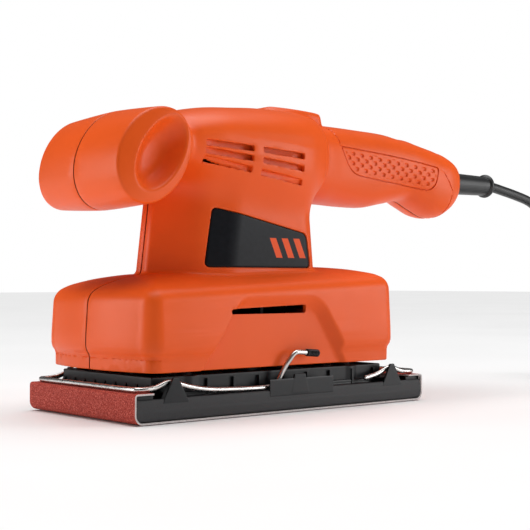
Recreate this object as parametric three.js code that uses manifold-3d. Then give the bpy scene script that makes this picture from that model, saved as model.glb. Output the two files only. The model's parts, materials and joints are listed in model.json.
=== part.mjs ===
/**
 * One-third-sheet orbital sander, in millimetres, +Z up.
 *
 * The origin is the centre of the sanding face, on the motor's axis. +X is the front, where the
 * transverse knob is, and +Y is the tool's left. The housing is two moulded shells that meet at
 * y = 0. They hold a vertical motor, whose eccentric pin drives the platen in 1 mm orbits.
 */
import * as THREE from "three";
import { mergeVertices } from "three/addons/utils/BufferGeometryUtils.js";
import Module from "manifold-3d";

const wasm = await Module();
wasm.setup();

// ---------------------------------------------------------------- driving dimensions

const CLEARANCE = 0.3; // between pieces that touch
const FAR = 400; // longer than anything that it cuts
const WALL = 2.5; // the moulded shells

const sheet = { width: 93, length: 189, thick: 0.8, height: 14, fold: 10.5, bottomBend: 4.5, topBend: 1.6 };
const pad = { width: 90, thick: 5.5 };
const platen = {
  width: 90,
  edgeTop: 10.8,
  deckHalf: 39.5,
  grooveFloor: 7.9,
  wallHalf: 38.5,
  wallTop: 20.4,
  wallFront: 80,
  wallRear: -70,
  wallThick: 2.4,
  endDeck: 10,
  edgeRound: 1.9,
};
const orbit = 1; // radius of the platen's circular travel

const skirt = {
  rim: 22.5,
  step: 28,
  bulge: 35,
  shoulder: 56.5,
  front: 91.1,
  rear: -75.7,
  half: 46,
  crown: 6,
  deckRise: 7,
  frontCorner: 9,
  rearCorner: 9,
};
const neck = {
  half: 28,
  nose: 60.8,
  noseTop: 52.3,
  noseHalf: 4.4,
  cheek: 17.4, // from the nose back to each bend of the slanted sides
  cheekHalf: 22.5,
  side: 35.4,
  rear: -38.5,
  rearTop: -32,
  rearCorner: 12,
  bottom: 58,
  top: 126,
};
const knob = { x: 76, z: 123, long: 24.6, short: 18.3, tilt: 34, half: 36.8, dish: 7 };
const pod = { front: -13, rear: -55.6, half: 13, top: 157.4, bottom: 138 };

const KNOB_SIDES = 24;
const ROUND_SIDES = 16; // a turned piece, and the bore that holds it

// Each section of the motor cover and of the rear handle: x, lowest z, highest z and half width.
const COVER = [
  [-52, 118, 148.5, 14],
  [-47, 112, 152, 22],
  [-38, 106.5, 154.4, 29],
  [-24, 103.4, 155.4, 34],
  [-6, 104.2, 155.2, 36],
  [14, 107.4, 153.8, 36.4],
  [32, 111.4, 152, 36],
  [46, 114.8, 149, 34.4],
  [58, 117, 143, 31.5],
  [68, 116, 137, 29],
];
const HANDLE = [
  [-40, 109, 150, 22],
  [-52, 107.6, 150.8, 20.5],
  [-62, 107.3, 150.9, 18.8],
  [-76, 106.7, 150.8, 17.4],
  [-90, 106.6, 150.5, 17],
  [-106, 109.2, 149.8, 17.4],
  [-120, 111.6, 148, 17.8],
  [-132, 107.4, 146, 18.4],
  [-144, 103, 143.8, 18.8],
  [-151, 102.6, 142.3, 18.8],
  [-157.5, 105.5, 140.2, 18],
  [-163.2, 110.5, 137.4, 15.5],
  [-166.5, 115, 133.8, 11.5],
  [-167.6, 118.5, 130.3, 7],
];

const vents = { front: 45, rear: -18, web: 6, height: 2.9, tops: [128.5, 123.5, 118], falls: [2.8, 5.4, 8.4] };
const recess = { top: 57.5, topFront: 31, topRear: -20, rimFront: 55, rimRear: -42, floor: 41.5, back: 39 };
const slot = { front: 38, rear: -13, bottom: 48.5, topFront: 51, topRear: 52.8 };
const badge = { corners: [[33, 101], [-26, 89], [-29, 71.5], [37.5, 71.5]], thick: 1.2, sunk: 0.3 };

const boss = { radius: 5.2, floor: -8 };
const screw = { shank: 1.7, tip: 11.5, head: 3.2, headThick: 2.4 };
const SCREWS = [
  ["knob", 76, 123],
  ["nose", 38, 90],
  ["skirt_front", 74, 45],
  ["skirt_rear", -65, 45],
  ["cover_rear", -43, 117],
  ["handle_middle", -100, 129],
  ["handle_rear", -136, 128],
];

const shaft = { radius: 4, top: 139.5, pinBottom: 19.4, pinTop: 31.6 };
const bearing608 = { bore: 4, outer: 11, width: 7, race: 2.2 };
const bearing698 = { bore: 4, outer: 9.5, width: 6, race: 1.8 };
const seats = { eccentric: 20.2, lower: 60, upper: 132 };
const stator = { radius: 25, bore: 14.6, bottom: 78, height: 34, window: 5.4 };
const armature = { radius: 13.8, winding: 12, lowerEnd: 70.6, upperEnd: 118 };
const commutator = { radius: 8, bottom: 119, height: 10 };
const fan = { radius: 29, bottom: 44, height: 12, plate: 2, blades: 9, bladeThick: 1.6, hub: 7.5 };
const weight = { radius: 21, bottom: 33, height: 8, hub: 8 };
const brush = { width: 5, height: 7, inner: 8.5, length: 12, holderEnd: 30, wall: 1.2 };
const spring = { radius: 2, wire: 0.35, turns: 4 };

const leg = { front: 56, rear: -49, y: 30, end: 5.5, waist: 3.4, bottom: 13.6, top: 55, socketDepth: 9, wall: 2.2 };
const rocker = { x: -36, z: 151.6, half: 10.4, width: 12.6, top: 156, root: 4.2, rise: 1.1 };
const switchBox = { length: 22, width: 13.4, bottom: 130, top: 147 };
const relief = { z: 125, start: -156, wallIn: -165.5, wallOut: -169.5, end: -207.5, thick: 6.8, thin: 6, flange: 7.4 };
const cordClamp = { x: -148, length: 6, width: 20, thick: 4, screwY: 7 };

const wire = { radius: 1.25, capRadius: 1.9, capLength: 8.5 };
const fulcrum = { x: 72.8, y: 43, z: 18.3, foot: 5 };
const catchWall = { front: 14.8, rear: -27.7, top: 16.4, inner: 45.2, outer: 46.2, lug: -5 };

const cord = { radius: 3.1, sides: 10 };
const coil = { x: -322, start: -10, middle: 37.6, columns: 4, layers: 2, pitch: 6.5, tailRadius: 45.1 };
const plug = { x: -276, length: 36, width: 35, height: 13.7, pin: 2, pinLength: 19, pinPitch: 18.6 };

// ---------------------------------------------------------------- solids

/** A closed three.js geometry as a solid that can be joined and cut. */
function solid(geometry) {
  const plain = geometry.index ? geometry.toNonIndexed() : geometry.clone();
  const places = new THREE.BufferGeometry().setAttribute("position", plain.getAttribute("position"));
  const merged = mergeVertices(places, 1e-4);
  return new wasm.Manifold(
    new wasm.Mesh({
      numProp: 3,
      vertProperties: merged.attributes.position.array,
      triVerts: new Uint32Array(merged.index.array),
    }),
  );
}

/** The geometry of a solid, for a mesh. */
function geometryOf(shape) {
  const mesh = shape.getMesh();
  const places = new Float32Array(mesh.numVert * 3);
  for (let i = 0; i < mesh.numVert; i++) {
    places.set(mesh.vertProperties.subarray(i * mesh.numProp, i * mesh.numProp + 3), i * 3);
  }
  const geometry = new THREE.BufferGeometry();
  geometry.setAttribute("position", new THREE.BufferAttribute(places, 3));
  geometry.setIndex(new THREE.BufferAttribute(mesh.triVerts, 1));
  geometry.computeVertexNormals();
  return geometry;
}

const join = (...shapes) => shapes.reduce((all, shape) => all.add(shape));

/** A box between two corners. */
function box(x0, x1, y0, y1, z0, z1) {
  const geometry = new THREE.BoxGeometry(x1 - x0, y1 - y0, z1 - z0);
  return solid(geometry.translate((x0 + x1) / 2, (y0 + y1) / 2, (z0 + z1) / 2));
}

/** A cylinder along Z. */
function post(radius, z0, z1, x = 0, y = 0, sides = 20) {
  const geometry = new THREE.CylinderGeometry(radius, radius, z1 - z0, sides);
  return solid(geometry.rotateX(Math.PI / 2).translate(x, y, (z0 + z1) / 2));
}

/** A cylinder along Y. */
function crossPin(radius, y0, y1, x, z, sides = 20) {
  const geometry = new THREE.CylinderGeometry(radius, radius, y1 - y0, sides);
  return solid(geometry.translate(x, (y0 + y1) / 2, z));
}

/** A cylinder along X. */
function longPin(radius, x0, x1, y, z, sides = 20) {
  const geometry = new THREE.CylinderGeometry(radius, radius, x1 - x0, sides);
  return solid(geometry.rotateZ(Math.PI / 2).translate((x0 + x1) / 2, y, z));
}

/** A ring about the Z axis through x. */
function ring(inner, outer, z0, z1, x = 0, sides = ROUND_SIDES) {
  const profile = [
    [inner, z0],
    [outer, z0],
    [outer, z1],
    [inner, z1],
    [inner, z0],
  ].map(([r, z]) => new THREE.Vector2(r, z));
  return solid(new THREE.LatheGeometry(profile, sides).rotateX(Math.PI / 2).translate(x, 0, 0));
}

/** A solid turned about the Z axis from [radius, z] points that start and end on the axis. */
function turned(points, x = 0, y = 0, sides = 24) {
  const profile = points.map(([r, z]) => new THREE.Vector2(r, z));
  return solid(new THREE.LatheGeometry(profile, sides).rotateX(Math.PI / 2).translate(x, y, 0));
}

/** An outline of [x, z] points, extruded from y0 to y1. */
function sidePrism(outline, y0, y1) {
  const shape = new THREE.Shape(outline.map(([x, z]) => new THREE.Vector2(x, z)));
  const geometry = new THREE.ExtrudeGeometry(shape, { depth: y1 - y0, bevelEnabled: false });
  return solid(geometry.rotateX(Math.PI / 2).translate(0, y1, 0));
}

/** A closed skin over rings of equal point counts, with a fan on each end. It always faces out. */
function loft(rings) {
  const count = rings[0].length;
  const centre = (points) =>
    points.reduce((sum, point) => sum.add(point), new THREE.Vector3()).divideScalar(count);
  const points = [...rings.flat(), centre(rings[0]), centre(rings.at(-1))];
  const lastRing = (rings.length - 1) * count;
  const [startTip, endTip] = [points.length - 2, points.length - 1];
  const faces = [];
  for (let i = 0; i < count; i++) {
    const j = (i + 1) % count;
    for (let base = 0; base < lastRing; base += count) {
      faces.push([base + i, base + j, base + count + i]);
      faces.push([base + j, base + count + j, base + count + i]);
    }
    faces.push([startTip, j, i]);
    faces.push([endTip, lastRing + i, lastRing + j]);
  }
  const volume = faces.reduce(
    (sum, [a, b, c]) => sum + points[a].dot(points[b].clone().cross(points[c])),
    0,
  );
  const order = volume > 0 ? faces.flat() : faces.map(([a, b, c]) => [a, c, b]).flat();
  const geometry = new THREE.BufferGeometry().setFromPoints(points);
  return solid(geometry.setIndex(order));
}

/** A rounded ring across the X axis, as a superellipse. */
function crossRing(x, low, high, half, count = 28, power = 2.5) {
  const bend = (value) => Math.sign(value) * Math.abs(value) ** (2 / power);
  return Array.from({ length: count }, (_, i) => {
    const turn = (2 * Math.PI * i) / count;
    const z = (low + high) / 2 + ((high - low) / 2) * bend(Math.sin(turn));
    return new THREE.Vector3(x, half * bend(Math.cos(turn)), z);
  });
}

/** A tube of round section along a smooth curve. */
function tube(curve, radius, steps, sides) {
  const section = new THREE.Shape(
    Array.from({ length: sides }, (_, i) => {
      const turn = (2 * Math.PI * i) / sides;
      return new THREE.Vector2(radius * Math.cos(turn), radius * Math.sin(turn));
    }),
  );
  return solid(new THREE.ExtrudeGeometry(section, { steps, extrudePath: curve, bevelEnabled: false }));
}

const smooth = (points) =>
  new THREE.CatmullRomCurve3(points.map((p) => new THREE.Vector3(...p)), false, "centripetal");

// ---------------------------------------------------------------- the housing's outside

/** The skirt's plan outline: a bowed front, with round corners. */
function skirtRing(front, rear, half, height) {
  const side = front - 4.8;
  const { frontCorner, rearCorner } = skirt;
  const outline = new THREE.Shape();
  outline.moveTo(rear + rearCorner, -half);
  outline.lineTo(side - frontCorner, -half);
  outline.quadraticCurveTo(side - 1, -half, side, -half + frontCorner);
  outline.quadraticCurveTo(2 * front - side, 0, side, half - frontCorner);
  outline.quadraticCurveTo(side - 1, half, side - frontCorner, half);
  outline.lineTo(rear + rearCorner, half);
  outline.quadraticCurveTo(rear, half, rear, half - rearCorner);
  outline.lineTo(rear, -half + rearCorner);
  outline.quadraticCurveTo(rear, -half, rear + rearCorner, -half);
  const points = outline.getPoints(5).slice(0, -1);
  return points.map((p) => new THREE.Vector3(p.x, p.y, height(p.x)));
}

/** The skirt, moved in by a wall's thickness for its inside. */
function skirtSolid(inset = 0) {
  const { front, rear, half, crown, deckRise } = skirt;
  const length = front - rear;
  const level = (z, slope) => (x) => z - inset * (slope ? 1 : 0) + (slope * (front - x)) / length;
  const row = (z, out, slope = 0) =>
    skirtRing(front - inset - out, rear + inset + out, half - inset - out, level(z, slope));
  const shoulder = skirt.shoulder + 3.5;
  return loft([
    row(inset ? skirt.rim - 10 : skirt.rim, 2.4),
    row(skirt.step - 0.4, 1.7),
    row(skirt.step + 0.4, 0.8),
    row(skirt.bulge, 0),
    row(shoulder - 3.5, 1.2, deckRise),
    row(shoulder - 0.6, 2.4, deckRise),
    row(shoulder + 1.2, 5, deckRise),
    row(shoulder + 3, 10, deckRise),
    row(shoulder + crown - 1.2, 20, deckRise),
    row(shoulder + crown - 0.6, 30, deckRise),
  ]);
}

/** A convex outline of [x, y] points, anticlockwise, with each side moved in by inset. */
function movedIn(outline, inset) {
  const points = outline.map((point) => new THREE.Vector2(...point));
  const at = (i) => points[(i + points.length) % points.length];
  return points.map((point, i) => {
    const before = point.clone().sub(at(i - 1)).normalize();
    const after = at(i + 1).clone().sub(point).normalize();
    return point.clone().addScaledVector(after.clone().sub(before), inset / before.cross(after));
  });
}

/** The neck's plan outline: a narrow nose, slanting cheeks, flat sides and round rear corners. */
function neckRing(nose, rear, inset, z) {
  const { half, noseHalf, cheek, cheekHalf, side, rearCorner } = neck;
  const bevel = rearCorner * 0.3;
  const left = [
    [nose, noseHalf],
    [nose - cheek, cheekHalf],
    [nose - side, half],
    [rear + rearCorner, half],
    [rear + bevel, half - bevel],
    [rear, half - rearCorner],
  ];
  const right = left.toReversed().map(([x, y]) => [x, -y]);
  return movedIn([...left, ...right], inset).map((p) => new THREE.Vector3(p.x, p.y, z));
}

function neckSolid(inset = 0) {
  const row = (share, z) =>
    neckRing(
      THREE.MathUtils.lerp(neck.nose, neck.noseTop, share),
      THREE.MathUtils.lerp(neck.rear, neck.rearTop, share),
      inset,
      z,
    );
  return loft([row(0, neck.bottom), row(1, neck.top)]);
}

/** A body lofted along X through [x, low, high, half] sections. */
function longSolid(sections, inset, count) {
  const last = sections.length - 1;
  return loft(
    sections.map(([x, low, high, half], i) => {
      const end = i === 0 ? Math.sign(sections[last][0] - x) : i === last ? Math.sign(sections[0][0] - x) : 0;
      return crossRing(x + end * inset, low + inset, high - inset, half - inset, count);
    }),
  );
}

/** The transverse knob: a leaning ellipse along Y whose ends are dished. */
function knobSolid(inset = 0) {
  const lean = THREE.MathUtils.degToRad(knob.tilt);
  const row = (y, share) =>
    Array.from({ length: KNOB_SIDES }, (_, i) => {
      const turn = (2 * Math.PI * i) / KNOB_SIDES;
      const along = (knob.long - inset) * share * Math.cos(turn);
      const across = (knob.short - inset) * share * Math.sin(turn);
      const x = knob.x - along * Math.sin(lean) + across * Math.cos(lean);
      const z = knob.z + along * Math.cos(lean) + across * Math.sin(lean);
      return new THREE.Vector3(x, y, z);
    });
  const dishFloor = knob.half - knob.dish - inset;
  const half = inset ? dishFloor : knob.half;
  const end = [
    [dishFloor, 0.45],
    [dishFloor + knob.dish * 0.2, 0.68],
    [half - 0.7, 0.84],
    [half, 0.91],
    [half - 1.2, 0.98],
    [half - 3.2, 1],
  ];
  const left = inset ? [[half, 0.9], [half - 3, 1]] : end;
  return loft([...left.map(([y, s]) => row(y, s)), ...left.toReversed().map(([y, s]) => row(-y, s))]);
}

/** The raised pad on top that the switch sits in. */
function podSolid(inset = 0) {
  const row = (x, drop, share = 1) =>
    crossRing(x, pod.bottom, pod.top - drop - inset, (pod.half - inset) * share, 16, 5);
  return loft([
    row(pod.rear + inset, 2.6, 0.4),
    row(pod.rear + 1.5 + inset, 1.1, 0.62),
    row(pod.rear + 6 + inset, 0.9, 0.9),
    row((pod.rear + pod.front) / 2, 0.3),
    row(pod.front - 6 - inset, 0, 0.85),
    row(pod.front - inset, 2.2, 0.5),
  ]);
}

function bodySolid(inset = 0) {
  return join(
    skirtSolid(inset),
    neckSolid(inset),
    longSolid(COVER, inset, 24),
    longSolid(HANDLE, inset, 18),
    knobSolid(inset),
    podSolid(inset),
  );
}

// ---------------------------------------------------------------- the housing's shells

const outside = bodySolid();
const inside = bodySolid(WALL);

/** Inner walls that hold the bearings, the motor and the brushes, cut to the housing's shape. */
function innerWalls() {
  const plate = (z, width, reach, bore) =>
    box(-reach, reach, -FAR, FAR, z, z + width).subtract(
      post(bore + CLEARANCE, z - 1, z + width + 1, 0, 0, ROUND_SIDES),
    );
  const holder = brush.height / 2 + brush.wall;
  const brushRib = (side) => {
    const [y0, y1] = side > 0 ? [brush.holderEnd + CLEARANCE, FAR] : [-FAR, -brush.holderEnd - CLEARANCE];
    return box(-4, 4, y0, y1, brushLevel() - holder, brushLevel() + holder);
  };
  const switchRib = (x) => box(x - 1, x + 1, -FAR, FAR, switchBox.bottom, switchBox.top);
  const fromSwitch = switchBox.length / 2 + CLEARANCE + 1;
  const clampSeat = relief.z - cord.radius - cordClamp.thick - CLEARANCE;
  const clampEnd = cordClamp.x + cordClamp.length;
  const clampRib = box(cordClamp.x - 1, clampEnd + 1, -FAR, FAR, skirt.shoulder, clampSeat);
  return [
    plate(seats.lower, bearing608.width, 30, bearing608.outer),
    plate(seats.upper, bearing698.width, 15, bearing698.outer),
    plate(stator.bottom + 8, 4, 40, stator.radius),
    plate(stator.bottom + stator.height - 8, 4, 40, stator.radius),
    brushRib(1),
    brushRib(-1),
    switchRib(rocker.x - fromSwitch),
    switchRib(rocker.x + fromSwitch),
    clampRib,
  ];
}

function brushLevel() {
  return commutator.bottom + commutator.height / 2;
}

/** The seats of the four flexible legs, under the deck. */
function legSeats() {
  const { end, top, socketDepth, wall } = leg;
  const deckTop = skirt.shoulder + skirt.deckRise + skirt.crown;
  return legPlaces().map(([x, y]) => post(end + wall, top - socketDepth, deckTop, x, y, 16));
}

function legBores() {
  const { end, top, socketDepth } = leg;
  return legPlaces().map(([x, y]) => post(end + CLEARANCE, top - socketDepth - 1, top + CLEARANCE, x, y, 16));
}

/** Sloping air slots through the cover's side, in rows of two. */
function ventCuts() {
  const middle = (vents.front + vents.rear) / 2;
  const reach = (vents.front - vents.rear) / 2;
  return vents.tops.flatMap((top, row) => {
    const slope = vents.falls[row] / (vents.front - vents.rear);
    const z = (x) => top + slope * (x - middle);
    const slit = (x0, x1) => [
      [x0, z(x0)],
      [x1, z(x1)],
      [x1, z(x1) + vents.height],
      [x0, z(x0) + vents.height],
    ];
    const outlines = [
      slit(middle - reach, middle - vents.web / 2),
      slit(middle + vents.web / 2, middle + reach),
    ];
    return outlines.flatMap((outline) => [sidePrism(outline, 20, FAR), sidePrism(outline, -FAR, -20)]);
  });
}

const recessOutline = (grow) => [
  [recess.rimRear - grow, skirt.rim - 5],
  [recess.rimFront + grow, skirt.rim - 5],
  [recess.topFront + grow, recess.top + grow],
  [recess.topRear - grow, recess.top + grow],
];

const slotOutline = [
  [slot.rear, slot.bottom],
  [slot.front, slot.bottom],
  [slot.front, slot.topFront],
  [slot.rear, slot.topRear],
];

const badgeOutline = (grow) => {
  const [topFront, topRear, lowRear, lowFront] = badge.corners;
  return [
    [topFront[0] + grow, topFront[1] + grow],
    [topRear[0] - grow, topRear[1] + grow],
    [lowRear[0] - grow, lowRear[1] - grow],
    [lowFront[0] + grow, lowFront[1] - grow],
  ];
};

/** The side's badge: a thin plate that follows the neck. */
function badgeSolid(side) {
  const [y0, y1] = side > 0 ? [10, FAR] : [-FAR, -10];
  return sidePrism(badgeOutline(0), y0, y1)
    .intersect(neckSolid(badge.sunk))
    .subtract(neckSolid(badge.sunk + badge.thick))
    .subtract(skirtSolid(-CLEARANCE));
}

/** Everything that is cut out of one side of the housing. */
function sideCuts(side) {
  const span = (near) => (side > 0 ? [near, FAR] : [-FAR, -near]);
  const pocket = sidePrism(badgeOutline(CLEARANCE), ...span(10)).subtract(
    neckSolid(badge.sunk + badge.thick + CLEARANCE),
  );
  return [
    pocket,
    sidePrism(recessOutline(0), ...span(recess.floor)),
    sidePrism(slotOutline, ...span(recess.back - 3)),
  ];
}

/** The hole for the cable's sleeve. */
function reliefCut() {
  return longPin(relief.thick + CLEARANCE, relief.start - 20, relief.start + 4, 0, relief.z, 24);
}

function switchCut() {
  const reach = rocker.half + 1.2;
  const half = rocker.width / 2 + CLEARANCE * 2;
  return box(rocker.x - reach, rocker.x + reach, -half, half, switchBox.top - 1, FAR);
}

/** The largest body of a solid, without the crumbs that a cut along a curved face can leave. */
function wholeOf(shape) {
  return shape.decompose().reduce((best, body) => (body.volume() > best.volume() ? body : best));
}

/** One shell: side is 1 for the left and -1 for the right, which the screws enter. */
function shell(side) {
  const [y0, y1] = side > 0 ? [CLEARANCE / 2, FAR] : [-FAR, -CLEARANCE / 2];
  const half = box(-FAR, FAR, y0, y1, -FAR, FAR);
  const walls = join(...innerWalls(), ...legSeats());
  const bosses = join(...SCREWS.map(([, x, z]) => crossPin(boss.radius, -FAR, FAR, x, z, 12)));
  const backing = sidePrism(recessOutline(3), ...(side > 0 ? [recess.back, FAR] : [-FAR, -recess.back]));
  const body = outside
    .subtract(inside)
    .add(join(walls, bosses, backing).intersect(outside))
    .intersect(half);
  const holes = SCREWS.flatMap(([, x, z]) => {
    const shank = crossPin(screw.shank + CLEARANCE, -FAR, screw.tip + 1, x, z, 10);
    const head = crossPin(screw.head + CLEARANCE, -FAR, boss.floor, x, z, 12);
    return [shank, head];
  });
  const cuts = [...holes, ...legBores(), ...ventCuts(), ...sideCuts(side), reliefCut(), switchCut()];
  return wholeOf(cuts.reduce((rest, cut) => rest.subtract(cut), body));
}

function shellScrew(x, z) {
  const head = crossPin(screw.head, boss.floor - CLEARANCE - screw.headThick, boss.floor - CLEARANCE, x, z, 12);
  const cross = [
    [2.2, 0.4],
    [0.4, 2.2],
  ].map(([dx, dz]) => box(x - dx, x + dx, -FAR, boss.floor - CLEARANCE - 1.2, z - dz, z + dz));
  const shank = crossPin(screw.shank, boss.floor - CLEARANCE - 1, screw.tip, x, z, 8);
  return head.add(shank).subtract(cross[0]).subtract(cross[1]);
}

// ---------------------------------------------------------------- switch, cable sleeve and clamp

function switchRocker() {
  const { x, z, half, top, root, rise } = rocker;
  const outline = [[x - half, top - 3.4]];
  for (let i = 0; i <= 6; i++) {
    const turn = Math.PI + (Math.PI * i) / 6;
    outline.push([x + root * Math.cos(turn), z + root * Math.sin(turn)]);
  }
  outline.push([x + half, top - 2.4], [x + half, top + rise], [x, top - 1], [x - half, top - 1.2]);
  return sidePrism(outline, -rocker.width / 2, rocker.width / 2);
}

function switchBody() {
  const { length, width, bottom, top } = switchBox;
  const contact = (dx) => box(rocker.x + dx - 0.4, rocker.x + dx + 0.4, -3, 3, bottom - 6, bottom + 1);
  const [x, half] = [rocker.x, length / 2];
  return join(box(x - half, x + half, -width / 2, width / 2, bottom, top), contact(-6), contact(6));
}

/** The ribbed sleeve that guards the cable where it leaves the handle. */
function strainRelief() {
  const { start, wallIn, wallOut, end, thick, thin, flange } = relief;
  const points = [
    [0, start],
    [thick - 2, start],
    [thick, start - 1],
    [thick, wallIn],
    [thick, wallOut],
    [thin, end + 4],
    [flange, end + 3],
    [flange, end + 1],
    [flange - 1.5, end],
    [0, end],
  ].map(([r, x]) => new THREE.Vector2(r, -x));
  const geometry = new THREE.LatheGeometry(points, 20);
  return solid(geometry.rotateZ(Math.PI / 2).translate(0, 0, relief.z));
}

function clampBar() {
  const { x, length, width, thick, screwY } = cordClamp;
  const bottom = relief.z - cord.radius - thick;
  const bar = box(x, x + length, -width / 2, width / 2, bottom, bottom + thick);
  const hole = (y) => post(screw.shank + CLEARANCE, bottom - 1, bottom + thick + 1, x + length / 2, y, 12);
  return bar.subtract(hole(screwY)).subtract(hole(-screwY));
}

function clampScrew(side) {
  const { x, length, thick, screwY } = cordClamp;
  const top = relief.z - cord.radius;
  const place = [x + length / 2, side * screwY];
  const head = post(screw.head - 0.4, top + CLEARANCE, top + CLEARANCE + 2, ...place, 12);
  return head.add(post(screw.shank, top - thick + 0.4, top + CLEARANCE + 0.5, ...place, 12));
}

// ---------------------------------------------------------------- motor

function armatureShaft() {
  const main = post(shaft.radius, shaft.pinTop - 1.5, shaft.top, 0, 0, 16);
  const pin = post(shaft.radius, shaft.pinBottom, shaft.pinTop, orbit, 0, 16);
  const shoulder = post(weight.hub - 1.5, shaft.pinTop - 3, weight.bottom - CLEARANCE, 0, 0, 16);
  return join(main, pin, shoulder).subtract(post(1.7, shaft.pinBottom - 1, shaft.pinBottom + 8, orbit, 0, 12));
}

/** One race of a bearing: the inner one turns with its shaft, the outer one stays in its seat. */
function race(size, z, which, x = 0) {
  const { bore, outer, width, race: thick } = size;
  const gap = CLEARANCE / 2;
  return which === "inner"
    ? ring(bore + gap, bore + thick, z + gap, z + width - gap, x)
    : ring(outer - thick, outer - gap / 2, z + gap, z + width - gap, x);
}

function statorCore() {
  const { radius, bore, bottom, height } = stator;
  const top = bottom + height;
  const windows = fieldLegs().map(([x0, x1, y0, y1]) =>
    box(x0 - CLEARANCE, x1 + CLEARANCE, y0 - CLEARANCE, y1 + CLEARANCE, bottom - 1, top + 1),
  );
  return windows.reduce((rest, cut) => rest.subtract(cut), ring(bore, radius, bottom, top));
}

/** Where the straight sides of the two field coils pass through the core. */
function fieldLegs() {
  const near = stator.bore + CLEARANCE + 0.3;
  const [x0, x1] = [8, 8 + stator.window - 1];
  const [y0, y1] = [near, near + 3.6];
  return [
    [x0, x1, y0, y1],
    [-x1, -x0, y0, y1],
    [x0, x1, -y1, -y0],
    [-x1, -x0, -y1, -y0],
  ];
}

function fieldCoil(side) {
  const [[x0, x1, near, far]] = fieldLegs();
  const [low, high] = [stator.bottom - 5, stator.bottom + stator.height + 5];
  const [y0, y1] = side > 0 ? [near, far] : [-far, -near];
  return box(-x1, x1, y0, y1, low, high).subtract(box(-x0, x0, y0 - 1, y1 + 1, low + 4, high - 4));
}

function armatureCore() {
  const { bottom, height } = stator;
  const core = ring(shaft.radius + 0.15, armature.radius, bottom + 1, bottom + height - 1, 0, 24);
  const groove = (i) => {
    const turn = (2 * Math.PI * i) / 12;
    const [x, y] = [armature.radius * Math.cos(turn), armature.radius * Math.sin(turn)];
    return post(1, bottom - 1, bottom + height + 1, x, y, 6);
  };
  return Array.from({ length: 12 }, (_, i) => groove(i)).reduce((rest, cut) => rest.subtract(cut), core);
}

function winding(z0, z1) {
  const { winding: radius } = armature;
  const inner = shaft.radius + 0.15;
  const profile = [
    [inner, z0],
    [radius - 2, z0],
    [radius, z0 + 2],
    [radius, z1 - 2],
    [radius - 2, z1],
    [inner, z1],
    [inner, z0],
  ].map(([r, z]) => new THREE.Vector2(r, z));
  return solid(new THREE.LatheGeometry(profile, 20).rotateX(Math.PI / 2));
}

function commutatorRing() {
  const { radius, bottom, height } = commutator;
  return ring(shaft.radius + 0.15, radius, bottom, bottom + height, 0, 28);
}

function coolingFan() {
  const { radius, bottom, height, plate, blades, bladeThick, hub } = fan;
  const disc = ring(shaft.radius + 0.15, radius, bottom + height - plate, bottom + height, 0, 30);
  const boss = ring(shaft.radius + 0.15, hub, bottom, bottom + height, 0, 16);
  const blade = new THREE.BoxGeometry(radius - hub - 1, bladeThick, height - 0.5);
  blade.translate((radius + hub + 0.5) / 2, 0, bottom + height / 2);
  const vanes = Array.from({ length: blades }, (_, i) =>
    solid(blade.clone().rotateZ((2 * Math.PI * i) / blades)),
  );
  return join(disc, boss, ...vanes);
}

/** The half disc that balances the platen, opposite the eccentric pin. */
function counterweight() {
  const { radius, bottom, height, hub } = weight;
  const disc = post(radius, bottom, bottom + height, 0, 0, 32).intersect(
    box(-FAR, 0, -FAR, FAR, bottom - 1, bottom + height + 1),
  );
  const bore = post(shaft.radius + 0.15, bottom - 1, bottom + height + 1, 0, 0, 16);
  return disc.add(post(hub, bottom, bottom + height, 0, 0, 16)).subtract(bore);
}

function eccentricScrew() {
  const seat = shaft.pinBottom - CLEARANCE;
  const washer = post(7, seat - 1.4, seat, orbit, 0, 24);
  const head = post(4, seat - 4.4, seat - 1.2, orbit, 0, 6);
  return join(washer, head, post(1.4, seat - 0.2, seat + 6, orbit, 0, 12));
}

function brushHolder(side) {
  const { width, height, inner, holderEnd, wall } = brush;
  const z = brushLevel();
  const [halfWidth, halfHeight] = [width / 2, height / 2];
  const span = (a, b) => (side > 0 ? [a, b] : [-b, -a]);
  const body = box(
    -halfWidth - wall,
    halfWidth + wall,
    ...span(inner + 2.5, holderEnd),
    z - halfHeight - wall,
    z + halfHeight + wall,
  );
  const gap = 0.25;
  const hole = box(
    -halfWidth - gap,
    halfWidth + gap,
    ...span(inner, holderEnd - wall),
    z - halfHeight - gap,
    z + halfHeight + gap,
  );
  return body.subtract(hole);
}

function carbonBrush(side) {
  const { width, height, inner, length } = brush;
  const z = brushLevel();
  const [y0, y1] = side > 0 ? [inner, inner + length] : [-inner - length, -inner];
  return box(-width / 2, width / 2, y0, y1, z - height / 2, z + height / 2);
}

/** A coil spring that presses a brush on the commutator. */
function brushSpring(side) {
  const start = brush.inner + brush.length + CLEARANCE + spring.wire;
  const end = brush.holderEnd - brush.wall - CLEARANCE - spring.wire;
  const steps = spring.turns * 8;
  const points = Array.from({ length: steps + 1 }, (_, i) => {
    const turn = (2 * Math.PI * spring.turns * i) / steps;
    const y = THREE.MathUtils.lerp(start, end, i / steps);
    return [spring.radius * Math.cos(turn), side * y, brushLevel() + spring.radius * Math.sin(turn)];
  });
  return tube(smooth(points), spring.wire, steps, 5);
}

// ---------------------------------------------------------------- platen, pad and paper

const padBottom = sheet.thick + CLEARANCE;
const platenBottom = padBottom + pad.thick + CLEARANCE;
const clampTop = sheet.height - sheet.thick - CLEARANCE; // the platen's ends, under the paper
const baseReach = sheet.length / 2 - sheet.thick - CLEARANCE;

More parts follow.
